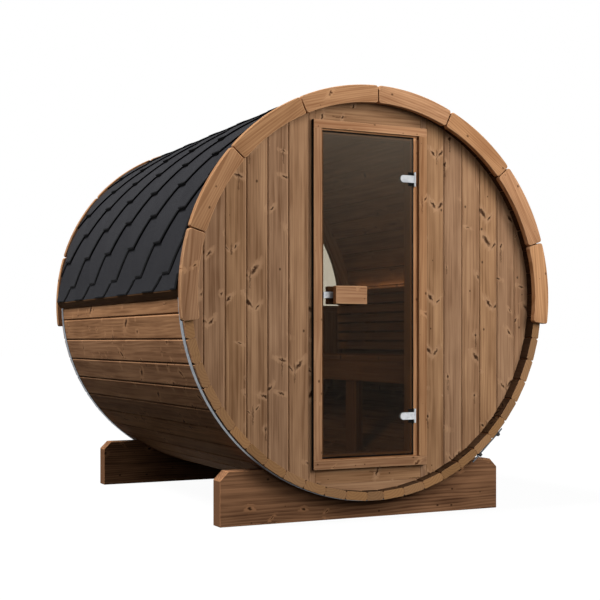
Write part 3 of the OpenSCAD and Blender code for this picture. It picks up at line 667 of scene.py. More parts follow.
BRONZE_GLASS = glass("bronze_glass", (0.50, 0.44, 0.35, 1.0), 1.12, 0.011, 0.155, (-0.262, 0.237, 0.6, 1.856))
CLEAR_GLASS = glass("window_glass", (0.92, 0.94, 0.92, 1.0), 1.20, 0.01, 0.02, (-0.9, 0.9, 1.1, 1.95))
SHINGLE = shingle_finish()
SEAL = seal_finish()


# Geometry node trees for what repeats

GEOMETRY = ("Geometry", "Geometry")
REPEAT_INPUTS = (("Seed", "Int", 0), ("Material", "Material"))


def store(net, geometry, domain, kind, name, value):
    return net.add("GeometryNodeStoreNamedAttribute", {"Geometry": geometry, "Name": name, "Value": value},
                   domain=domain, data_type=kind).outputs[0]


def named_vector(net, name):
    return net.add("GeometryNodeInputNamedAttribute", {"Name": name}, data_type="FLOAT_VECTOR").outputs[0]


def finish_tree(net, instances, given):
    """Gives each repeat its own tone and place in the tree, then makes one mesh with a material."""
    tone = net.add("FunctionNodeRandomValue", {"Seed": given["Seed"]}, data_type="FLOAT")
    geometry = store(net, instances, "INSTANCE", "FLOAT", "tone", [s for s in tone.outputs if s.enabled][0])
    place = net.add("FunctionNodeRandomValue", {0: TREE_LOW, 1: TREE_HIGH, "Seed": given["Seed"]},
                    data_type="FLOAT_VECTOR").outputs[0]
    geometry = store(net, geometry, "INSTANCE", "FLOAT_VECTOR", "shift", place)
    geometry = net.add("GeometryNodeRealizeInstances", {"Geometry": geometry}).outputs[0]
    moved = net.vectors("ADD", named_vector(net, "grain"), named_vector(net, "shift"))
    geometry = store(net, geometry, "POINT", "FLOAT_VECTOR", "grain", moved)
    geometry = net.add("GeometryNodeRemoveAttribute", {"Geometry": geometry, "Name": "shift"}).outputs[0]
    done = net.add("GeometryNodeSetMaterial", {"Geometry": geometry, "Material": given["Material"]})
    net.add("NodeGroupOutput", {"Geometry": done.outputs[0]})


def round_tree():
    """Repeats a piece about the barrel's axis, every second one from another piece."""
    tree, net, given = new_tree("round_the_barrel", "GeometryNodeTree", (
        GEOMETRY, ("Second", "Object"), ("Count", "Int", 1), ("First Angle", "Float", 0.0),
        ("Step Angle", "Float", 0.0), ("Axis Height", "Float", 0.0), *REPEAT_INPUTS), (GEOMETRY,))
    points = net.add("GeometryNodeMeshLine", {
        "Count": given["Count"], "Start Location": net.vector(0.0, 0.0, given["Axis Height"]),
        "Offset": (0.0, 0.0, 0.0)}, mode="OFFSET").outputs[0]
    index = net.add("GeometryNodeInputIndex").outputs[0]
    angle = net.times(net.blend(index, given["Step Angle"], given["First Angle"]), -1.0)
    turn = net.add("FunctionNodeEulerToRotation", {0: net.vector(0.0, angle, 0.0)}).outputs[0]
    odd = net.math("MODULO", index, 2.0)
    second = net.add("GeometryNodeObjectInfo", {"Object": given["Second"]}).outputs["Geometry"]
    joined = net.add("GeometryNodeJoinGeometry")
    for shape, which in ((given["Geometry"], net.less(1.0, odd)), (second, odd)):
        half = net.add("GeometryNodeInstanceOnPoints", {
            "Points": points, "Selection": which, "Instance": shape, "Rotation": turn}).outputs[0]
        net.feed(joined.inputs[0], half)
    finish_tree(net, joined.outputs[0], given)
    return tree


def row_tree():
    """Repeats a piece in a straight row."""
    tree, net, given = new_tree("row", "GeometryNodeTree", (
        GEOMETRY, ("Count", "Int", 1), ("Step", "Vector", (0.0, 0.0, 0.0)), *REPEAT_INPUTS), (GEOMETRY,))
    points = net.add("GeometryNodeMeshLine", {
        "Count": given["Count"], "Start Location": (0.0, 0.0, 0.0), "Offset": given["Step"]},
        mode="OFFSET").outputs[0]
    pieces = net.add("GeometryNodeInstanceOnPoints", {"Points": points, "Instance": given["Geometry"]})
    finish_tree(net, pieces.outputs[0], given)
    return tree


ROUND_THE_BARREL = round_tree()
ROW = row_tree()


def repeat(tree, name, mesh, finish, *nodes, **inputs):
    """Runs a tree on a piece and keeps its finished mesh."""
    piece = bpy.data.objects.new(name, mesh)
    bpy.context.scene.collection.objects.link(piece)
    modifier = piece.modifiers.new(name, "NODES")
    modifier.node_group = tree
    inputs["material"] = finish.material
    for item in tree.interface.items_tree:
        key = item.name.replace(" ", "_").lower()
        if item.in_out == "INPUT" and key in inputs:
            modifier[item.identifier] = inputs[key]
    graph = bpy.context.evaluated_depsgraph_get()
    done = bpy.data.meshes.new_from_object(piece.evaluated_get(graph), preserve_all_data_layers=True,
                                           depsgraph=graph)
    piece.modifiers.remove(modifier)
    piece.data = done
    done.name = name
    return declare(piece, finish, *nodes)


def round_the_barrel(name, mesh, finish, *nodes, second=None, **inputs):
    """Repeats a mesh about the barrel's axis, by turns with a second one."""
    unshown = bpy.data.objects.new(name + "_pattern", second or mesh)
    return repeat(ROUND_THE_BARREL, name, mesh, finish, *nodes, second=unshown, axis_height=AXIS, **inputs)


# Barrel

STAVE_GAP, BEAD_PLAY = 0.0048, 0.0006
BEAD_R, BEAD_H = 0.016, 0.005
STAVE_EASE, INNER_EASE = 0.0045, 0.004
STAVE_NODES = ["staves_" + part for part in (
    "bottom_right", "right", "top_right", "top_left", "left", "bottom_left")]


def stave_outline(half_arc):
    """Section of a stave about +X: bead on the upper edge, cove on the lower one, eased corners."""
    outer = BARREL_R * math.tan(half_arc) - STAVE_GAP / 2
    inner = INNER_R * math.tan(half_arc) - STAVE_GAP / 2
    slope = (outer - inner) / (BARREL_R - INNER_R)

    def side(r):
        return inner + (r - INNER_R) * slope

    snug = STAVE_GAP / 2 - BEAD_PLAY
    middle = (BARREL_R + INNER_R) / 2
    reach = math.acos(1 - BEAD_H / BEAD_R)
    swell = [(middle + BEAD_R * math.sin(a), BEAD_R * math.cos(a) - BEAD_R + BEAD_H)
             for a in [reach * (2 * s - 1) for s in shares(6)]]
    within = [(INNER_R, inner - INNER_EASE), (INNER_R + INNER_EASE, side(INNER_R + INNER_EASE))]
    without = [(BARREL_R - STAVE_EASE, side(BARREL_R - STAVE_EASE)), (BARREL_R, outer - STAVE_EASE)]
    upper = within + [(r, side(r) + h + snug) for r, h in swell] + without
    cove = [(r, -side(r) + h - snug) for r, h in reversed(swell)]
    return upper + [(r, -w) for r, w in reversed(without)] + cove + [(r, -w) for r, w in reversed(within)]


def stave_board(half_arc):
    """A stave about +X, whose inner faces beyond the end walls are darkened as painted shade."""
    board = prism(stave_outline(half_arc), -END_Y, END_Y)
    soften(board, 0.0009, 2, sharp_edges(board, math.radians(38)))
    for y in (-WALL_Y, WALL_Y):
        everything = board.verts[:] + board.edges[:] + board.faces[:]
        bmesh.ops.bisect_plane(board, geom=everything, plane_co=(0, y, 0), plane_no=REAR)
    # Painted shade: the overhang's inner faces beyond the end walls are marked to be drawn dark.
    for face in board.faces:
        middle = face.calc_center_median()
        if abs(middle.y) > WALL_Y and middle.x < INNER_R + 0.006 and abs(face.normal.y) < 0.5:
            face.material_index = 2
    return board


stave = Stock(11).add(stave_board(STAVE_PITCH / 2), REAR, RIGHT).mesh("stave", toned=False)
round_the_barrel("staves", stave, STAVE, *STAVE_NODES, count=STAVES,
                 first_angle=FIRST_JOINT + STAVE_PITCH / 2, step_angle=STAVE_PITCH, seed=4)
closing = stave_board(CLOSING_ARC / 2)
turn_down = Matrix.Translation((0, 0, AXIS)) @ Matrix.Rotation(math.pi / 2, 4, "Y")
bmesh.ops.transform(closing, matrix=turn_down, verts=closing.verts)
Stock(12).add(closing, REAR, DOWN).piece("closing_stave", STAVE)


# End walls

FAR = 9.0
BOARD_START, BOARD_W, BOARD_GAP, FRONT_BOARDS = 0.325, 0.1075, 0.0026, 6
STUD_INNER, STUD_OUTER = 0.2935, 0.3245
CROSS_HALF = 0.2925
HEADER_JOINT, APRON_JOINT, JOINT_HALF = 1.9833, 0.1761, 0.0003
RAIL_LOW, RAIL_TOP = 1.047, 1.093
REAR_HALF, REAR_BOARDS = 0.9545, 18
RIM_PLAY = 0.001


def wall_high(limit=FAR):
    """Upper edge of an end wall over a place x, or a limit below it."""
    return lambda x: min(AXIS + math.sqrt(max(WALL_R ** 2 - x * x, 0.0)), limit)


def wall_low(limit=-FAR):
    """Lower edge of an end wall over a place x, or a limit above it."""
    return lambda x: max(AXIS - math.sqrt(max(WALL_R ** 2 - x * x, 0.0)), limit)


def front_board(a, b, low=wall_low(), high=wall_high(), make=disc_board, **shape):
    """A board or tongue of the front wall between two places, given in either order."""
    return make(*sorted((a, b)), -WALL_Y, -CABIN_Y, low, high, **shape)


# Painted light: the left boards draw darker tones than the right ones, as if the light came from the right.
for side, name, darkest in ((-1, "front_wall_left", 0.05), (1, "front_wall_right", 0.30)):
    stock = Stock(20 + side)
    starts = [BOARD_START + k * BOARD_W for k in range(FRONT_BOARDS)]
    for x0 in starts:
        x1 = min(x0 + BOARD_W - BOARD_GAP, WALL_R - RIM_PLAY)
        tone = darkest + 0.65 * stock.draw.random()
        stock.add(front_board(side * x0, side * x1), UP, FRONT, tone=tone)
    for a, b in [(STUD_OUTER, BOARD_START)] + [(x - BOARD_GAP, x) for x in starts[1:]]:
        stock.add(front_board(side * a, side * b, make=tongue), UP, FRONT)
    stock.piece(name + "_boards", WALL, name)

CROSS_BOARDS = (
    ("front_wall_header", 30, (
        (LINER_TOP + FIT, HEADER_JOINT - JOINT_HALF), (HEADER_JOINT + JOINT_HALF, FAR))),
    ("front_wall_apron", 31, (
        (APRON_JOINT + JOINT_HALF, LINER_LOW - FIT), (-FAR, APRON_JOINT - JOINT_HALF))),
)
for name, seed, spans in CROSS_BOARDS:
    stock = Stock(seed)
    for z0, z1 in spans:
        board = front_board(-CROSS_HALF, CROSS_HALF, wall_low(z0), wall_high(z1), vee=0.001, columns=16)
        stock.add(soften(board, 0.002), RIGHT, FRONT)
    stock.piece(name + "_boards", WALL, name)

stock = Stock(34)
for side in (-1, 1):
    stock.add(front_board(side * STUD_INNER, side * STUD_OUTER, vee=0.002, columns=2), UP, FRONT)
stock.piece("door_stud_posts", WALL, "door_studs")

stock = Stock(35)
under_rail = wall_high(RAIL_LOW - FIT)
joints = [REAR_HALF * (2 * s - 1) for s in shares(REAR_BOARDS)]
for a, b in zip(joints, joints[1:]):
    x0, x1 = max(a, -WALL_R + RIM_PLAY), min(b - BOARD_GAP, WALL_R - RIM_PLAY)
    stock.add(disc_board(x0, x1, WALL_Y, CABIN_Y, wall_low(), under_rail), UP, REAR)
for x in joints[1:-1]:
    stock.add(tongue(x - BOARD_GAP, x, WALL_Y, CABIN_Y, wall_low(), under_rail), UP, REAR)
stock.piece("rear_wall_boards", WALL, "rear_wall")

half = math.sqrt(WALL_R ** 2 - (RAIL_TOP - AXIS) ** 2)
rail = soften(plank((-half, CABIN_Y, RAIL_LOW), (half, WALL_Y, RAIL_TOP)), 0.003)
Stock(36).add(rail, RIGHT, REAR).piece("window_rail_board", WALL, "window_rail")

WINDOW_R, WINDOW_PIECES, WINDOW_GAP = 0.868, 4, 0.0006
PANE_R, PANE_Y, PANE_HALF, PANE_SUNK = 0.872, 0.9665, 0.004, 0.004
sill_angle = math.asin((RAIL_TOP + FIT - AXIS) / WINDOW_R)
window_step = (math.pi - 2 * sill_angle) / WINDOW_PIECES
span = (window_step - WINDOW_GAP) / 2
outline = arc(WALL_R, -span, span, 14) + arc(WINDOW_R, span, -span, 14)
block = Stock(37).add(soften(prism(outline, CABIN_Y, WALL_Y), 0.003), UP, REAR)
round_the_barrel("window_frame_pieces", block.mesh("window_block", toned=False), WALL, "window_frame",
                 count=WINDOW_PIECES, first_angle=sill_angle + window_step / 2, step_angle=window_step,
                 seed=8)

low_angle = math.asin((RAIL_TOP - PANE_SUNK - AXIS) / PANE_R)
outline = [(x, AXIS + z) for x, z in arc(PANE_R, low_angle, math.pi - low_angle, 64)]
pane = soften(prism(outline, PANE_Y - PANE_HALF, PANE_Y + PANE_HALF), 0.0008, 1)
plain_piece("window_pane", [pane], CLEAR_GLASS, "window_glass")


# Ring trim

RING_INNER, RING_OUTER, RING_T = 0.923, 1.007, 0.0326
RING_BLOCKS, RING_GAP = 8, 0.0052
RING_STEP = math.radians(195.3) / RING_BLOCKS
RING_START = math.pi / 2 - RING_STEP * RING_BLOCKS / 2
RING_CORNER, RING_EASE = 0.013, 0.0038


def ring_block(y0):
    """One block of the trim about +X, with square-cut ends, round corners and eased edges."""
    outline = []
    for r, way in ((RING_OUTER, 1), (RING_INNER, -1)):
        span = RING_STEP / 2 - math.asin(RING_GAP / 2 / r)
        outline += arc(r, -way * span, way * span, 18)
    board = prism(outline, y0, y0 + RING_T)

    def is_through(edge):
        return abs(edge.verts[0].co.y - edge.verts[1].co.y) > RING_T / 2

    soften(board, RING_CORNER, 4, [e for e in sharp_edges(board, SHARP) if is_through(e)])
    return soften(board, RING_EASE, 4, [e for e in sharp_edges(board, math.radians(60)) if not is_through(e)])


for name, y0, out, seed in (("front_ring", -END_Y - RING_T, FRONT, 1011), ("rear_ring", END_Y, REAR, 5)):
    block = Stock(40).add(ring_block(y0), UP, out, smooth=True).mesh(name + "_block", toned=False)
    round_the_barrel(name + "_blocks", block, TRIM, name, count=RING_BLOCKS,
                     first_angle=RING_START + RING_STEP / 2, step_angle=RING_STEP, seed=seed)


# Door frame

LIP_BACK, LIP_OVER = 1.0085, 0.004
FRAME_FACE, FRAME_BACK = 0.9945, 0.9355
CORE_HALF, LINER_HALF = 0.309, 0.293
FRAME_LEFT, FRAME_RIGHT, FRAME_LOW, FRAME_HIGH = -0.253, 0.228, 0.316, 1.847
LIP_EASE, CORE_EASE, FRAME_EASE = 0.0022, 0.0005, 0.0015
# Painted light: a tone above any drawn one, so the inner frame boards stay bright in the head's shadow.
INNER_PAINTED_LIGHT_TONE = 1.2


def frame_boards(node, seed, tone, rows, run):
    """Boards of the door frame between pairs of corners, each with its own edge rounding."""
    stock = Stock(seed)
    for low, high, ease in rows:
        # The inner frame boards take the lighter tone as painted light.
        shade = INNER_PAINTED_LIGHT_TONE if ease == FRAME_EASE else tone
        stock.add(soften(plank(low, high), ease), run, FRONT, tone=shade)
    stock.piece(node + "_boards", CASING, node)


def cross_boards(node, seed, tone, lip, core, inner):
    """Head or sill of the door frame, from the heights of its lip, core and inner frame."""
    rows = []
    for half, y0, y1, (z0, z1), ease in (
            (CASING_HALF, CASING_Y, LIP_BACK, lip, LIP_EASE),
            (CORE_HALF, LIP_BACK, WALL_Y, core, CORE_EASE),
            (OPENING_HALF, FRAME_FACE, WALL_Y, inner, FRAME_EASE),
            (LINER_HALF, WALL_Y, FRAME_BACK, inner, CORE_EASE)):
        rows.append(((-half, -y0, z0), (half, -y1, z1), ease))
    frame_boards(node, seed, tone, rows, RIGHT)


for side, name, edge in ((-1, "door_jamb_left", -FRAME_LEFT), (1, "door_jamb_right", FRAME_RIGHT)):
    rows = []
    for a, b, y0, y1, z0, z1, ease in (
            (OPENING_HALF, CASING_HALF, CASING_Y, LIP_BACK, SILL_TOP, HEAD_LOW, LIP_EASE),
            (OPENING_HALF, CORE_HALF, LIP_BACK, WALL_Y, SILL_TOP, HEAD_LOW, CORE_EASE),
            (edge, LINER_HALF, FRAME_FACE, FRAME_BACK, FRAME_LOW, FRAME_HIGH, FRAME_EASE)):
        x0, x1 = sorted((side * a, side * b))
        rows.append(((x0, -y0, z0), (x1, -y1, z1), ease))
    frame_boards(name, 50 + side, 0.40 - 0.03 * side, rows, UP)
cross_boards("door_head", 52, 0.85, (HEAD_LOW, CASING_TOP), (HEAD_LOW, CASING_TOP - LIP_OVER),
             (FRAME_HIGH, LINER_TOP))
cross_boards("door_sill", 53, 0.15, (CASING_LOW, SILL_TOP), (CASING_LOW + LIP_OVER, SILL_TOP),
             (LINER_LOW, FRAME_LOW))

GLASS_LEFT, GLASS_RIGHT, GLASS_LOW, GLASS_HIGH = -0.266, 0.241, 0.303, 1.860
SEAL_IN, SEAL_W, SEAL_T = 0.004, 0.0085, 0.004
LIP_SEAL = LIP_OVER - FIT


def seal_round(x0, x1, z0, z1, left, rest, y0, y1):
    """Four strips round an opening that reach out by left on its left and by rest on its other sides."""
    return [soften(plank(low, high), 0.0006, 1) for low, high in (
        ((x0 - left, y0, z0 - rest), (x1 + rest, y1, z0)),
        ((x0 - left, y0, z1), (x1 + rest, y1, z1 + rest)),
        ((x0 - left, y0, z0), (x0, y1, z1)),
        ((x1, y0, z0), (x1 + rest, y1, z1)),
    )]


seal_x0, seal_x1 = GLASS_LEFT + SEAL_IN, GLASS_RIGHT - SEAL_IN
seals = seal_round(-CORE_HALF, CORE_HALF, CASING_LOW + LIP_OVER, CASING_TOP - LIP_OVER, LIP_SEAL, LIP_SEAL,
                   -LIP_BACK, -WALL_Y)
seals += seal_round(seal_x0, seal_x1, GLASS_LOW + SEAL_IN, GLASS_HIGH - SEAL_IN, seal_x0 + OPENING_HALF,
                    SEAL_W, -FRAME_FACE - SEAL_T, -FRAME_FACE)
plain_piece("door_seal", seals, SEAL, "door_frame_seal")


# Door leaf

CLAMP_TIP, CLAMP_END, CLAMP_HALF = 0.163, 0.236, 0.018
CLAMP_T, CLAMP_BACK_T, WEB_HALF, WEB_IN = 0.006, 0.005, 0.0015, 0.001
KNUCKLE_R, PLATE_HALF, PLATE_X0, PLATE_X1, PLATE_T = 0.0055, 0.035, 0.246, 0.262, 0.0035
# Black pads between the clamps and the glass, taller than the clamps as painted shadow above and below them.
PAD_X0, PAD_X1, PAD_HALF, PAD_T, PAD_SUNK = 0.2095, 0.2405, 0.034, 0.0006, 0.0002
HANDLE_X0, HANDLE_X1, HANDLE_HALF, HANDLE_T, HANDLE_GAP = -0.218, -0.050, 0.043, 0.033, 0.020
SPACER_IN, SPACER_R = 0.036, 0.009
LATCH_X0, LATCH_X1, LATCH_HALF, LATCH_T = -0.260, -0.196, 0.015, 0.005
CLAMP_EASE = 0.0012


def pin_profile(low, high, r, ease=0.0006):
    return [(low, r - ease), (low + ease, r), (high - ease, r), (high, r - ease)]


def hinge_cheek(x1, z, y0, y1):
    """A hinge cheek: square at x1, round at its free end."""
    bend = arc(CLAMP_HALF, math.pi / 2, 1.5 * math.pi, 16)
    free = [(CLAMP_TIP + CLAMP_HALF + x, z + rise) for x, rise in bend]
    return soften(prism([(x1, z - CLAMP_HALF), (x1, z + CLAMP_HALF)] + free, y0, y1), CLAMP_EASE)


def socket_screw(x, z, face):
    """A screw head with a round socket, standing out of a face towards the front."""
    profile = ((0.0002, 0.005), (-0.0011, 0.005), (-0.0015, 0.0045), (-0.0015, 0.0024), (-0.0002, 0.0022))
    return turned("y", (x, z), [(face + t, r) for t, r in profile])


clamps, plates, pads_and_shadows = [], [], []
for z in HINGES_Z:
    low, high = z - CLAMP_HALF, z + CLAMP_HALF
    clamps.append(hinge_cheek(CLAMP_END, z, -GLASS_FACE - CLAMP_T, -GLASS_FACE))
    clamps.append(hinge_cheek(FRAME_RIGHT - FIT, z, -GLASS_BACK, -GLASS_BACK + CLAMP_BACK_T))
    clamps.append(plank((CLAMP_END - WEB_IN, HINGE_Y - WEB_HALF, low), (HINGE_X, HINGE_Y + WEB_HALF, high)))
    clamps.append(turned("z", (HINGE_X, HINGE_Y), pin_profile(low, high, KNUCKLE_R)))
    clamps.append(socket_screw(CLAMP_TIP + CLAMP_HALF, z, -GLASS_FACE - CLAMP_T))
    plate = plank((PLATE_X0, -FRAME_FACE - PLATE_T, z - PLATE_HALF), (PLATE_X1, -FRAME_FACE, z + PLATE_HALF))
    plates.append(soften(plate, 0.0008))
    for z0, z1 in ((z - PLATE_HALF, low - FIT), (high + FIT, z + PLATE_HALF)):
        ear = plank((PLATE_X0, HINGE_Y, z0), (HINGE_X + KNUCKLE_R, -FRAME_FACE, z1))
        plates.append(turned("z", (HINGE_X, HINGE_Y), pin_profile(z0, z1, KNUCKLE_R)))
        plates.append(soften(ear, 0.0004, 1))
    # Painted shadow: each pad reaches past its clamp above and below.
    pad_and_shadow = plank((PAD_X0, -GLASS_FACE - PAD_T, z - PAD_HALF), (PAD_X1, -GLASS_FACE + PAD_SUNK, z + PAD_HALF))
    pads_and_shadows.append(soften(pad_and_shadow, 0.0002, 1))
plain_piece("hinge_cheeks", clamps, SATIN_STEEL, "hinge_clamps", smooth=True, body="door")
plain_piece("hinge_plates_pins", plates, SATIN_STEEL, "hinge_plates", smooth=True)
plain_piece("hinge_pads", pads_and_shadows, SEAL, body="door")

leaf = soften(plank((GLASS_LEFT, -GLASS_FACE, GLASS_LOW), (GLASS_RIGHT, -GLASS_BACK, GLASS_HIGH)), 0.0010, 1)
plain_piece("door_pane", [leaf], BRONZE_GLASS, "door_glass", body="door")

for name, y0, seed, out in (("handle_outer", -GLASS_FACE - HANDLE_GAP - HANDLE_T, 59, FRONT),
                            ("handle_inner", -GLASS_BACK + HANDLE_GAP, 61, REAR)):
    block = plank((HANDLE_X0, y0, HANDLE_Z - HANDLE_HALF), (HANDLE_X1, y0 + HANDLE_T, HANDLE_Z + HANDLE_HALF))
    stock = Stock(seed).add(soften(block, 0.003, 3), RIGHT, out, tone=0.55)
    stock.piece(name + "_block", TRIM, name, body="door")

spacers = []
for x in (HANDLE_X0 + SPACER_IN, HANDLE_X1 - SPACER_IN):
    for y0, y1 in ((-GLASS_FACE - HANDLE_GAP, -GLASS_FACE), (-GLASS_BACK, -GLASS_BACK + HANDLE_GAP)):
        spacers.append(turned("y", (x, HANDLE_Z), pin_profile(y0, y1, SPACER_R, 0.0008)))
plain_piece("handle_posts", spacers, SATIN_STEEL, "handle_spacers", smooth=True, body="door")

latch_face = -GLASS_FACE - LATCH_T
latch = plank((LATCH_X0, latch_face, HANDLE_Z - LATCH_HALF), (LATCH_X1, -GLASS_FACE, HANDLE_Z + LATCH_HALF))
latch = [soften(latch, CLAMP_EASE), socket_screw(LATCH_X0 + LATCH_HALF, HANDLE_Z, latch_face)]
plain_piece("latch_strike", latch, SATIN_STEEL, "latch_plate", smooth=True, body="door")


# Roof

ROOF_Y = 1.04           # ends of the roof
ROOF_R = 0.990          # underside of the shingles
COURSES = 9
COURSE = 0.155          # exposure of a shingle course
COURSE_ARC = math.radians(8.997)
FIRST_COURSE = math.radians(5.2)
TAB_PITCH, TAB_FLAT, TAB_SLANT = 0.40, 0.10, 0.10
EVEN_TAB, ODD_TAB = -0.87, -0.665       # flats of the even and odd courses
LIFT = 0.0075           # rise of a course over the one below it
UNDERSIDE = -0.001
STARTER_LOW = COURSE - 0.080
EAVE_TIP = (1.0138, 0.0125)             # lower edge of the starter course, from the barrel's axis
EAVE_T = 0.005
EAVE_FLAT = 0.1185      # where the first full course's flats lie on the starter course
SWEEP = 0.045           # how far the starter course's cuts swing back at the eave
UNDERLAY_SUNK = 0.0034  # how far the starter course's backing lies under its tabs
LOW_STRETCH = 2.6       # narrows the painted shadow along the starter course's lower edge
LEAST = 1e-4            # width below which a sheet is left out


class ShingleRow:
    """One course of shingles as offsets from the barrel's axis. Its lower edge runs in tabs whose flats
    lie at centre plus whole pitches. A starter course lacks its lower part and bends out to the eave."""

    def __init__(self, name, centre, side, seed, starter=False):
        self.side, self.starter = side, starter
        self.start = STARTER_LOW if starter else 0.0
        self.points, self.faces, self.edge, self.tone, self.tab = [], [], [], [], []
        draw = random.Random(seed)
        lower = [self.start + (COURSE - self.start) * s for s in shares(8)]
        upper = [COURSE * (1 + s) for s in shares(4)]
        if starter:
            self.sheet(lambda s: -ROOF_Y, lambda s: ROOF_Y, lower, 0.5, UNDERLAY_SUNK)
        for k in range(-6, math.ceil((ROOF_Y - centre) / TAB_PITCH + 1)):
            self.shingle(centre + k * TAB_PITCH, lower, upper, draw.random())
        self.mesh = mesh = bpy.data.meshes.new(name)
        mesh.from_pydata(self.points, [], self.faces)
        work = bmesh.new()
        work.from_mesh(mesh)
        bmesh.ops.recalc_face_normals(work, faces=work.faces)
        work.to_mesh(mesh)
        work.free()
        give(mesh, "tone", "POINT", self.tone)
        give(mesh, "tab", "POINT", self.tab, "FLOAT_VECTOR")
        give(mesh, "edge", "FACE", self.edge)
        mesh.update()

    def fallen(self, s):
        """How far a point of the starter course lies below the flats above it, 1 at the eave."""
        return max((EAVE_FLAT - s) / (EAVE_FLAT - self.start), 0.0) if self.starter else 0.0

    def half_tab(self, s):
        """Half the width of a tab."""
        return TAB_FLAT / 2 + TAB_SLANT * (1.0 - 0.5 * self.fallen(s) if self.starter else s / COURSE)

    def spot(self, y, s, over, sunk):
        """A point of the upper or under side, s up the roof."""
        def on_barrel(s, lift):
            return (ROOF_R + lift) * math.cos(s / ROOF_R), (ROOF_R + lift) * math.sin(s / ROOF_R)

        if self.starter and s < COURSE:
            x0, z0 = on_barrel(COURSE, LIFT - sunk if over else UNDERSIDE)
            share = (COURSE - s) / (COURSE - self.start)
            tip = EAVE_TIP[0] - (sunk if over else EAVE_T)
            x, z = x0 + (tip - x0) * share, z0 + (EAVE_TIP[1] - z0) * share
        else:
            x, z = on_barrel(s, LIFT * (2 - s / COURSE) - sunk if over else UNDERSIDE)
        return (self.side * x, y, z)

    def sheet(self, left, right, rows, shade, sunk=0.0, cut=False):
        """A wedge-shaped sheet between the edges left(s) and right(s), which are cut ones or joints.
        Its tab attribute holds each point's way from the front, rear and lower edge, which places the
        shingle's painted shadow."""
        base = len(self.points)
        for s in rows:
            a, b = left(s), right(s)
            low = (s - self.start) * (LOW_STRETCH if self.starter else 1.0)
            # near keeps the painted front shadow off the starter course above its eave part.
            near = 1.0 if self.starter and self.fallen(s) == 0.0 else 0.0
            for over in (True, False):
                self.points += [self.spot(a, s, over, sunk), self.spot(b, s, over, sunk)]
                self.tone += [shade, shade]
                self.tab += (near, b - a, low, near + b - a, 0.0, low) if cut else [1.0] * 6
        for p in range(base, len(self.points) - 4, 4):
            q = p + 4
            self.faces += [(p, p + 1, q + 1, q), (p + 2, q + 2, q + 3, p + 3),
                           (p, q, q + 2, p + 2), (p + 1, p + 3, q + 3, q + 1)]
            self.edge += [0, 0, 1, 1]
        last = len(self.points) - 4
        self.faces += [(base, base + 2, base + 3, base + 1), (last, last + 1, last + 3, last + 2)]
        self.edge += [1, 1]

    def shingle(self, centre, lower, upper, shade):
        """One shingle: its tab, and the joined strip above it."""
        def held(y):
            return min(max(y, -ROOF_Y), ROOF_Y)

        def left(s):
            return held(centre - self.half_tab(s) + SWEEP * self.fallen(s) ** 2)

        def right(s):
            return held(centre + self.half_tab(s))

        rows = [s for s in lower if right(s) - left(s) > LEAST]
        if len(rows) > 1:
            self.sheet(left, right, rows, shade, cut=True)
        a, b = max(centre - TAB_PITCH / 2, -ROOF_Y), min(centre + TAB_PITCH / 2, ROOF_Y)
        if b - a > LEAST:
            self.sheet(lambda s: a, lambda s: b, upper, shade)


for side, name in ((-1, "left"), (1, "right")):
    even = ShingleRow("even_course_" + name, EVEN_TAB, side, 70).mesh
    odd = ShingleRow("odd_course_" + name, ODD_TAB, side, 71).mesh
    round_the_barrel("shingles_" + name, even, SHINGLE, "roof_" + name, second=odd, count=COURSES,
                     first_angle=side * FIRST_COURSE, step_angle=side * COURSE_ARC, seed=9)
    starter = ShingleRow("starter_course_" + name, ODD_TAB, side, 72, starter=True).mesh
    starter.transform(Matrix.Translation((0, 0, AXIS)))
    finish_piece("starter_shingles_" + name, starter, SHINGLE)

CAPS, CAP_L, CAP_T = 11, 0.24, 0.005
CAP_LOW = math.radians(83.5)
CAP_LIFTS = (0.0150, 0.0100)    # front edge, rear edge
cap_top = [(-ROOF_Y, ROOF_R + CAP_LIFTS[0]), (CAP_L - ROOF_Y, ROOF_R + CAP_LIFTS[1])]
cap_ring = cap_top + [(y, r - CAP_T) for y, r in reversed(cap_top)]
cap_angles = [CAP_LOW + (math.pi - 2 * CAP_LOW) * s for s in shares(12)]
cap = plain_mesh("ridge_cap", [loft([[round_axis(r, a, y) for y, r in cap_ring] for a in cap_angles])])
give(cap, "edge", "FACE", [0.0 if abs(p.normal.z) > 0.8 else 1.0 for p in cap.polygons])
give(cap, "tab", "POINT", [1.0] * 3 * len(cap.vertices), "FLOAT_VECTOR")
repeat(ROW, "ridge_caps", cap, SHINGLE, "roof_ridge", count=CAPS,
       step=(0.0, (2 * ROOF_Y - CAP_L) / (CAPS - 1), 0.0), seed=6)

BATTEN_OUTLINE = ((0.9875, -0.023), (0.9895, -0.023), (1.009, 0.007), (1.009, 0.012), (0.9838, 0.0885),
                  (0.9815, 0.0885))
for side, name in ((-1, "eave_batten_left"), (1, "eave_batten_right")):
    batten = prism([(side * x, AXIS + z) for x, z in BATTEN_OUTLINE], -ROOF_Y, ROOF_Y)
    Stock(80 + side).add(soften(batten, 0.0012, 1), REAR, side * RIGHT).piece(name + "_board", BATTEN, name)


# Straps

STRAP_R, STRAP_W, STRAP_T, STRAP_Y = 0.98696, 0.033, 0.0015, 1.0135
STRAP_OPEN_HALF, STRAP_EASE = 0.067, 0.0006
TENSION = math.radians(-47.5)           # where the tensioners sit
LUG_X, LUG_HALF, LUG_H, LUG_ROUND = 0.0735, 0.0065, 0.030, 0.010
FOOT_L, FOOT_IN, FOOT_T = 0.030, 0.003, 0.003
ROD_Z, ROD_LOW, ROD_HIGH, ROD_R, ROD_EASE = 0.019, -0.113, 0.128, 0.004, 0.0009
THREAD_PITCH, THREAD_DEPTH = 0.00175, 0.0007
NUT_LOW, NUT_HIGH, NUT_HALF = 0.080, 0.087, 0.0065


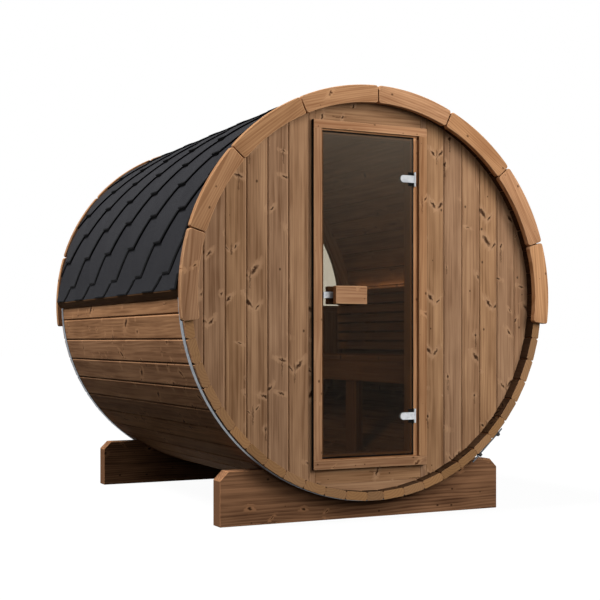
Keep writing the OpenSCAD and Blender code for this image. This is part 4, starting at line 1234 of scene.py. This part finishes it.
def strap_band(y):
    """A flat band with rounded edges, broken at the tensioner."""
    half, open_half = STRAP_W / 2, math.asin(STRAP_OPEN_HALF / STRAP_R)
    side = [(0.0, half), (STRAP_T * 0.7, half), (STRAP_T, half - STRAP_EASE)]
    section = [(t, -w) for t, w in side] + side[::-1]
    angles = [TENSION + open_half + 2 * (math.pi - open_half) * s for s in shares(208)]
    return loft([[round_axis(STRAP_R + t, a, y + w) for t, w in section] for a in angles])


def at_tensioner(board, y):
    """Moves a piece drawn with X along the strap and Z out of it to the tensioner at y."""
    turn = Matrix.Rotation(math.pi / 2 - TENSION, 4, "Y")
    place = Matrix.Translation((0, y, AXIS)) @ turn @ Matrix.Translation((0, 0, STRAP_R + STRAP_T))
    bmesh.ops.transform(board, matrix=place, verts=board.verts)
    return board


def threaded_rod():
    """A rod along X with thread ridges."""
    profile = [(ROD_LOW, ROD_R - ROD_EASE)]
    for i in range(int((ROD_HIGH - ROD_LOW) / THREAD_PITCH)):
        for share, r in ((0.25, ROD_R), (0.75, ROD_R - THREAD_DEPTH)):
            profile.append((ROD_LOW + THREAD_PITCH * (i + share), r))
    return turned("x", (0.0, ROD_Z), profile + [(ROD_HIGH, ROD_R - ROD_EASE)], 10)


def nut(low, high):
    r = NUT_HALF / math.cos(math.pi / 6)
    outline = [(y, ROD_Z + z) for y, z in arc(r, math.pi / 6, 11 * math.pi / 6, 5)]
    return soften(prism(outline, low, high, "x"), 0.0008, 1)


def lug(side):
    """A lug with round shoulders, and its foot on the strap."""
    x = side * LUG_X
    block = plank((x - LUG_HALF, -STRAP_W / 2, 0.0), (x + LUG_HALF, STRAP_W / 2, LUG_H))
    shoulders = [e for e in block.edges if min(v.co.z for v in e.verts) > LUG_H / 2
                 and abs(e.verts[0].co.x - e.verts[1].co.x) > LUG_HALF]
    soften(block, LUG_ROUND, 4, shoulders)
    x0, x1 = sorted((x + side * LUG_HALF, x - side * FOOT_L))
    foot = plank((x0, -STRAP_W / 2 + FOOT_IN, 0.0), (x1, STRAP_W / 2 - FOOT_IN, FOOT_T))
    return soften(block, 0.0012, 1), soften(foot, 0.0008, 1)


lugs, rods = [], []
for y, name in ((-STRAP_Y, "front_strap"), (STRAP_Y, "rear_strap")):
    plain_piece(name + "_band", [strap_band(y)], GALVANISED, name, smooth=True)
    lugs += [at_tensioner(part, y) for side in (-1, 1) for part in lug(side)]
    rod_and_nuts = threaded_rod(), nut(-NUT_HIGH, -NUT_LOW), nut(NUT_LOW, NUT_HIGH)
    rods += [at_tensioner(part, y) for part in rod_and_nuts]
plain_piece("tensioner_lugs", lugs, BLACK_STEEL, "strap_lugs")
plain_piece("tensioner_rods", rods, GALVANISED, "strap_rods")


# Cradles

CRADLE_HALF, CRADLE_H, CRADLE_CUT, CRADLE_T, CRADLE_Y = 0.769, 0.256, 0.042, 0.083, 0.9175
SADDLE_R = 0.9866


def cradle_board(y):
    """A bearer with cut corners and a round saddle."""
    reach = math.acos((AXIS - CRADLE_H) / SADDLE_R)
    saddle = [(SADDLE_R * math.sin(a), AXIS - SADDLE_R * math.cos(a))
              for a in [reach * (1 - 2 * s) for s in shares(48)]]
    corner = [(CRADLE_HALF, 0.0), (CRADLE_HALF, CRADLE_H - CRADLE_CUT), (CRADLE_HALF - CRADLE_CUT, CRADLE_H)]
    outline = corner + saddle + [(-x, z) for x, z in reversed(corner)]
    return soften(prism(outline, y - CRADLE_T / 2, y + CRADLE_T / 2), 0.003)


for name, y, seed, out in (("front_cradle", -CRADLE_Y, 89, FRONT), ("rear_cradle", CRADLE_Y, 91, REAR)):
    Stock(seed).add(cradle_board(y), RIGHT, out).piece(name + "_bearer", CRADLE, name)


# Bench

CABIN_HALF = 0.945
SEAT_Z, SEAT_SLATS = 0.780, 4
BENCH_X, SLAT_W, SLAT_STEP, SLAT_T = 0.378, 0.1175, 0.1295, 0.028
FASCIA_LOW, FASCIA_X0, FASCIA_X1 = 0.636, 0.383, 0.401
FRAME_X, BEARER_T = 0.4015, 0.045
LEG_Y, LEG_W, LEG_T = -0.055, 0.124, 0.045
BACK_X, BACK_T, BACK_LOW, BACK_W, BACK_STEP, BACK_SLATS = 0.840, 0.020, 0.809, 0.046, 0.058, 6
BACK_CAP_LOW, BACK_CAP_TOP, BACK_CAP_OVER = 1.157, 1.187, 0.010
POST_Y = 0.620
slat_low = SEAT_Z - SLAT_T


def cabin_board(x0, x1, z0, z1, ease=0.003, steps=3):
    """A board as long as the cabin."""
    return soften(plank((x0, -CABIN_HALF, z0), (x1, CABIN_HALF, z1)), ease, steps)


def bearer(x0, z0, z1, y):
    """A bearer from x0 out to the staves, between two heights."""
    heights = [z0 + (z1 - z0) * s for s in shares(6)]
    wall = [(math.sqrt(SEAT_R ** 2 - (AXIS - z) ** 2) - FIT, z) for z in heights]
    return soften(prism([(x0, z0)] + wall + [(x0, z1)], y - BEARER_T / 2, y + BEARER_T / 2), 0.002)


slat = Stock(95).add(cabin_board(BENCH_X, BENCH_X + SLAT_W, slat_low, SEAT_Z, 0.004), REAR, UP)
repeat(ROW, "seat_slats", slat.mesh("seat_slat", toned=False), BENCH, "bench_seat", count=SEAT_SLATS,
       step=(SLAT_STEP, 0.0, 0.0), seed=2)
fascia = cabin_board(FASCIA_X0, FASCIA_X1, FASCIA_LOW, slat_low, steps=2)
Stock(96).add(fascia, REAR, LEFT).piece("seat_fascia", BENCH, "bench_fascia")
stock = Stock(97)
for y in (-CABIN_HALF + BEARER_T / 2, LEG_Y, CABIN_HALF - BEARER_T / 2):
    stock.add(bearer(FRAME_X, FASCIA_LOW, slat_low, y), RIGHT, FRONT)
foot = [(x, AXIS - math.sqrt(SEAT_R ** 2 - x * x)) for x in [FRAME_X + LEG_T * s for s in shares(2)]]
leg = prism(foot + [(FRAME_X + LEG_T, slat_low), (FRAME_X, slat_low)], LEG_Y - LEG_W / 2, LEG_Y + LEG_W / 2)
stock.add(soften(leg, 0.003), UP, LEFT).piece("bench_bearers_leg", BENCH, "bench_frame")

slat = Stock(98).add(cabin_board(BACK_X, BACK_X + BACK_T, BACK_LOW, BACK_LOW + BACK_W), REAR, LEFT)
repeat(ROW, "backrest_rails", slat.mesh("back_slat", toned=False), BENCH, "backrest_slats", count=BACK_SLATS,
       step=(0.0, 0.0, BACK_STEP), seed=7)
back_cap = cabin_board(BACK_X - BACK_CAP_OVER, BACK_X + BACK_T, BACK_CAP_LOW, BACK_CAP_TOP)
Stock(99).add(back_cap, REAR, UP).piece("backrest_cap", BENCH)
stock = Stock(100)
for y in (-POST_Y, LEG_Y, POST_Y):
    stock.add(bearer(BACK_X + BACK_T, BACK_LOW, BACK_CAP_TOP, y), UP, LEFT)
stock.piece("backrest_posts", BENCH, "backrest_uprights")


# Floor, light and camera

FLOOR_HALF = 60
WHITE = (1.0, 1.0, 1.0, 1.0)
DOME_STRENGTH = 0.08
SHADOW_SHARE = 0.04     # how much of the floor's white is lit, so that it can hold a shadow


def seen_directly(net):
    """1 for rays that show the surroundings: straight from the camera, or by way of gloss or glass."""
    path = net.add("ShaderNodeLightPath").outputs
    shown = net.math("MAXIMUM", net.math("MAXIMUM", path["Is Camera Ray"], path["Is Glossy Ray"]),
                     path["Is Transmission Ray"])
    return net.times(shown, net.math("LESS_THAN", path["Diffuse Depth"], 0.5))


def floor_material():
    """White floor that keeps a soft shadow and throws little light back up."""
    material, net = material_net("studio_floor")
    bounce = net.add("ShaderNodeBsdfDiffuse", {0: (0.02, 0.02, 0.02, 1)})
    lit = net.add("ShaderNodeBsdfDiffuse", {0: (0.95, 0.95, 0.95, 1)})
    white = net.add("ShaderNodeEmission", {0: WHITE, 1: 1.0})
    net.surface(net.mix_shaders(seen_directly(net), bounce, net.mix_shaders(1.0 - SHADOW_SHARE, lit, white)))
    return material


mesh = bpy.data.meshes.new("studio_floor")
corners = [(x * FLOOR_HALF, y * FLOOR_HALF, 0) for x, y in ((-1, -1), (1, -1), (1, 1), (-1, 1))]
mesh.from_pydata(corners, [], [(0, 1, 2, 3)])
mesh.materials.append(floor_material())
floor = bpy.data.objects.new("studio_floor", mesh)
bpy.context.scene.collection.objects.link(floor)

world = bpy.data.worlds.new("studio")
world.use_nodes = True
world.node_tree.nodes.clear()
net = Net(world.node_tree)
dome = net.add("ShaderNodeBackground", {0: WHITE, 1: DOME_STRENGTH})
backdrop = net.add("ShaderNodeBackground", {0: WHITE, 1: 1.0})
net.surface(net.mix_shaders(seen_directly(net), dome, backdrop), "World")
bpy.context.scene.world = world


def lamp(name, kind, energy, location, towards, **settings):
    """Hangs a lamp at a place and turns it towards another; it lights, but isn't mirrored."""
    data = bpy.data.lights.new(name, kind)
    data.energy = energy
    for key, value in settings.items():
        setattr(data, key, value)
    made = bpy.data.objects.new(name, data)
    made.location = location
    made.rotation_euler = (Vector(location) - Vector(towards)).to_track_quat("Z", "Y").to_euler()
    made.visible_camera = made.visible_glossy = made.visible_transmission = False
    bpy.context.scene.collection.objects.link(made)


lamp("key_front_right", "AREA", 122.0, (1.15, -4.1, 2.5), (0.1, -1.0, 1.1), size=2.4)
lamp("fill_left", "AREA", 29.0, (-1.5, -5.5, 1.6), (-0.5, 0.0, 0.8), size=1.5)
lamp("top_left", "SUN", 5.3, (-4.9, 0.6, 9.3), (0.0, 0.0, 1.1), angle=0.30)
lamp("fill_rear_right", "AREA", 150.0, (4.2, 4.2, 2.6), (0.3, 0.3, 1.0), size=2.5)
lamp("cabin_light", "AREA", 2.2, (-0.55, -0.25, 1.45), (0.5, 0.0, 0.4), size=0.4)
lamp("backrest_glow", "AREA", 0.45, (0.910, 0.0, 1.183), (0.94, 0.0, 1.25), shape="RECTANGLE", size=1.7,
     size_y=0.012, color=(1.0, 0.78, 0.60))

camera_data = bpy.data.cameras.new("camera")
camera_data.lens = 71.74
camera_data.sensor_width = 36.0
camera_data.shift_y = 0.0687
camera = bpy.data.objects.new("camera", camera_data)
camera.location = (-2.8439, -6.0673, 0.8588)
camera.rotation_euler = (math.radians(90), 0.0, math.radians(-25.94))
bpy.context.scene.collection.objects.link(camera)
bpy.context.scene.camera = camera
bpy.context.scene.view_settings.view_transform = "Standard"
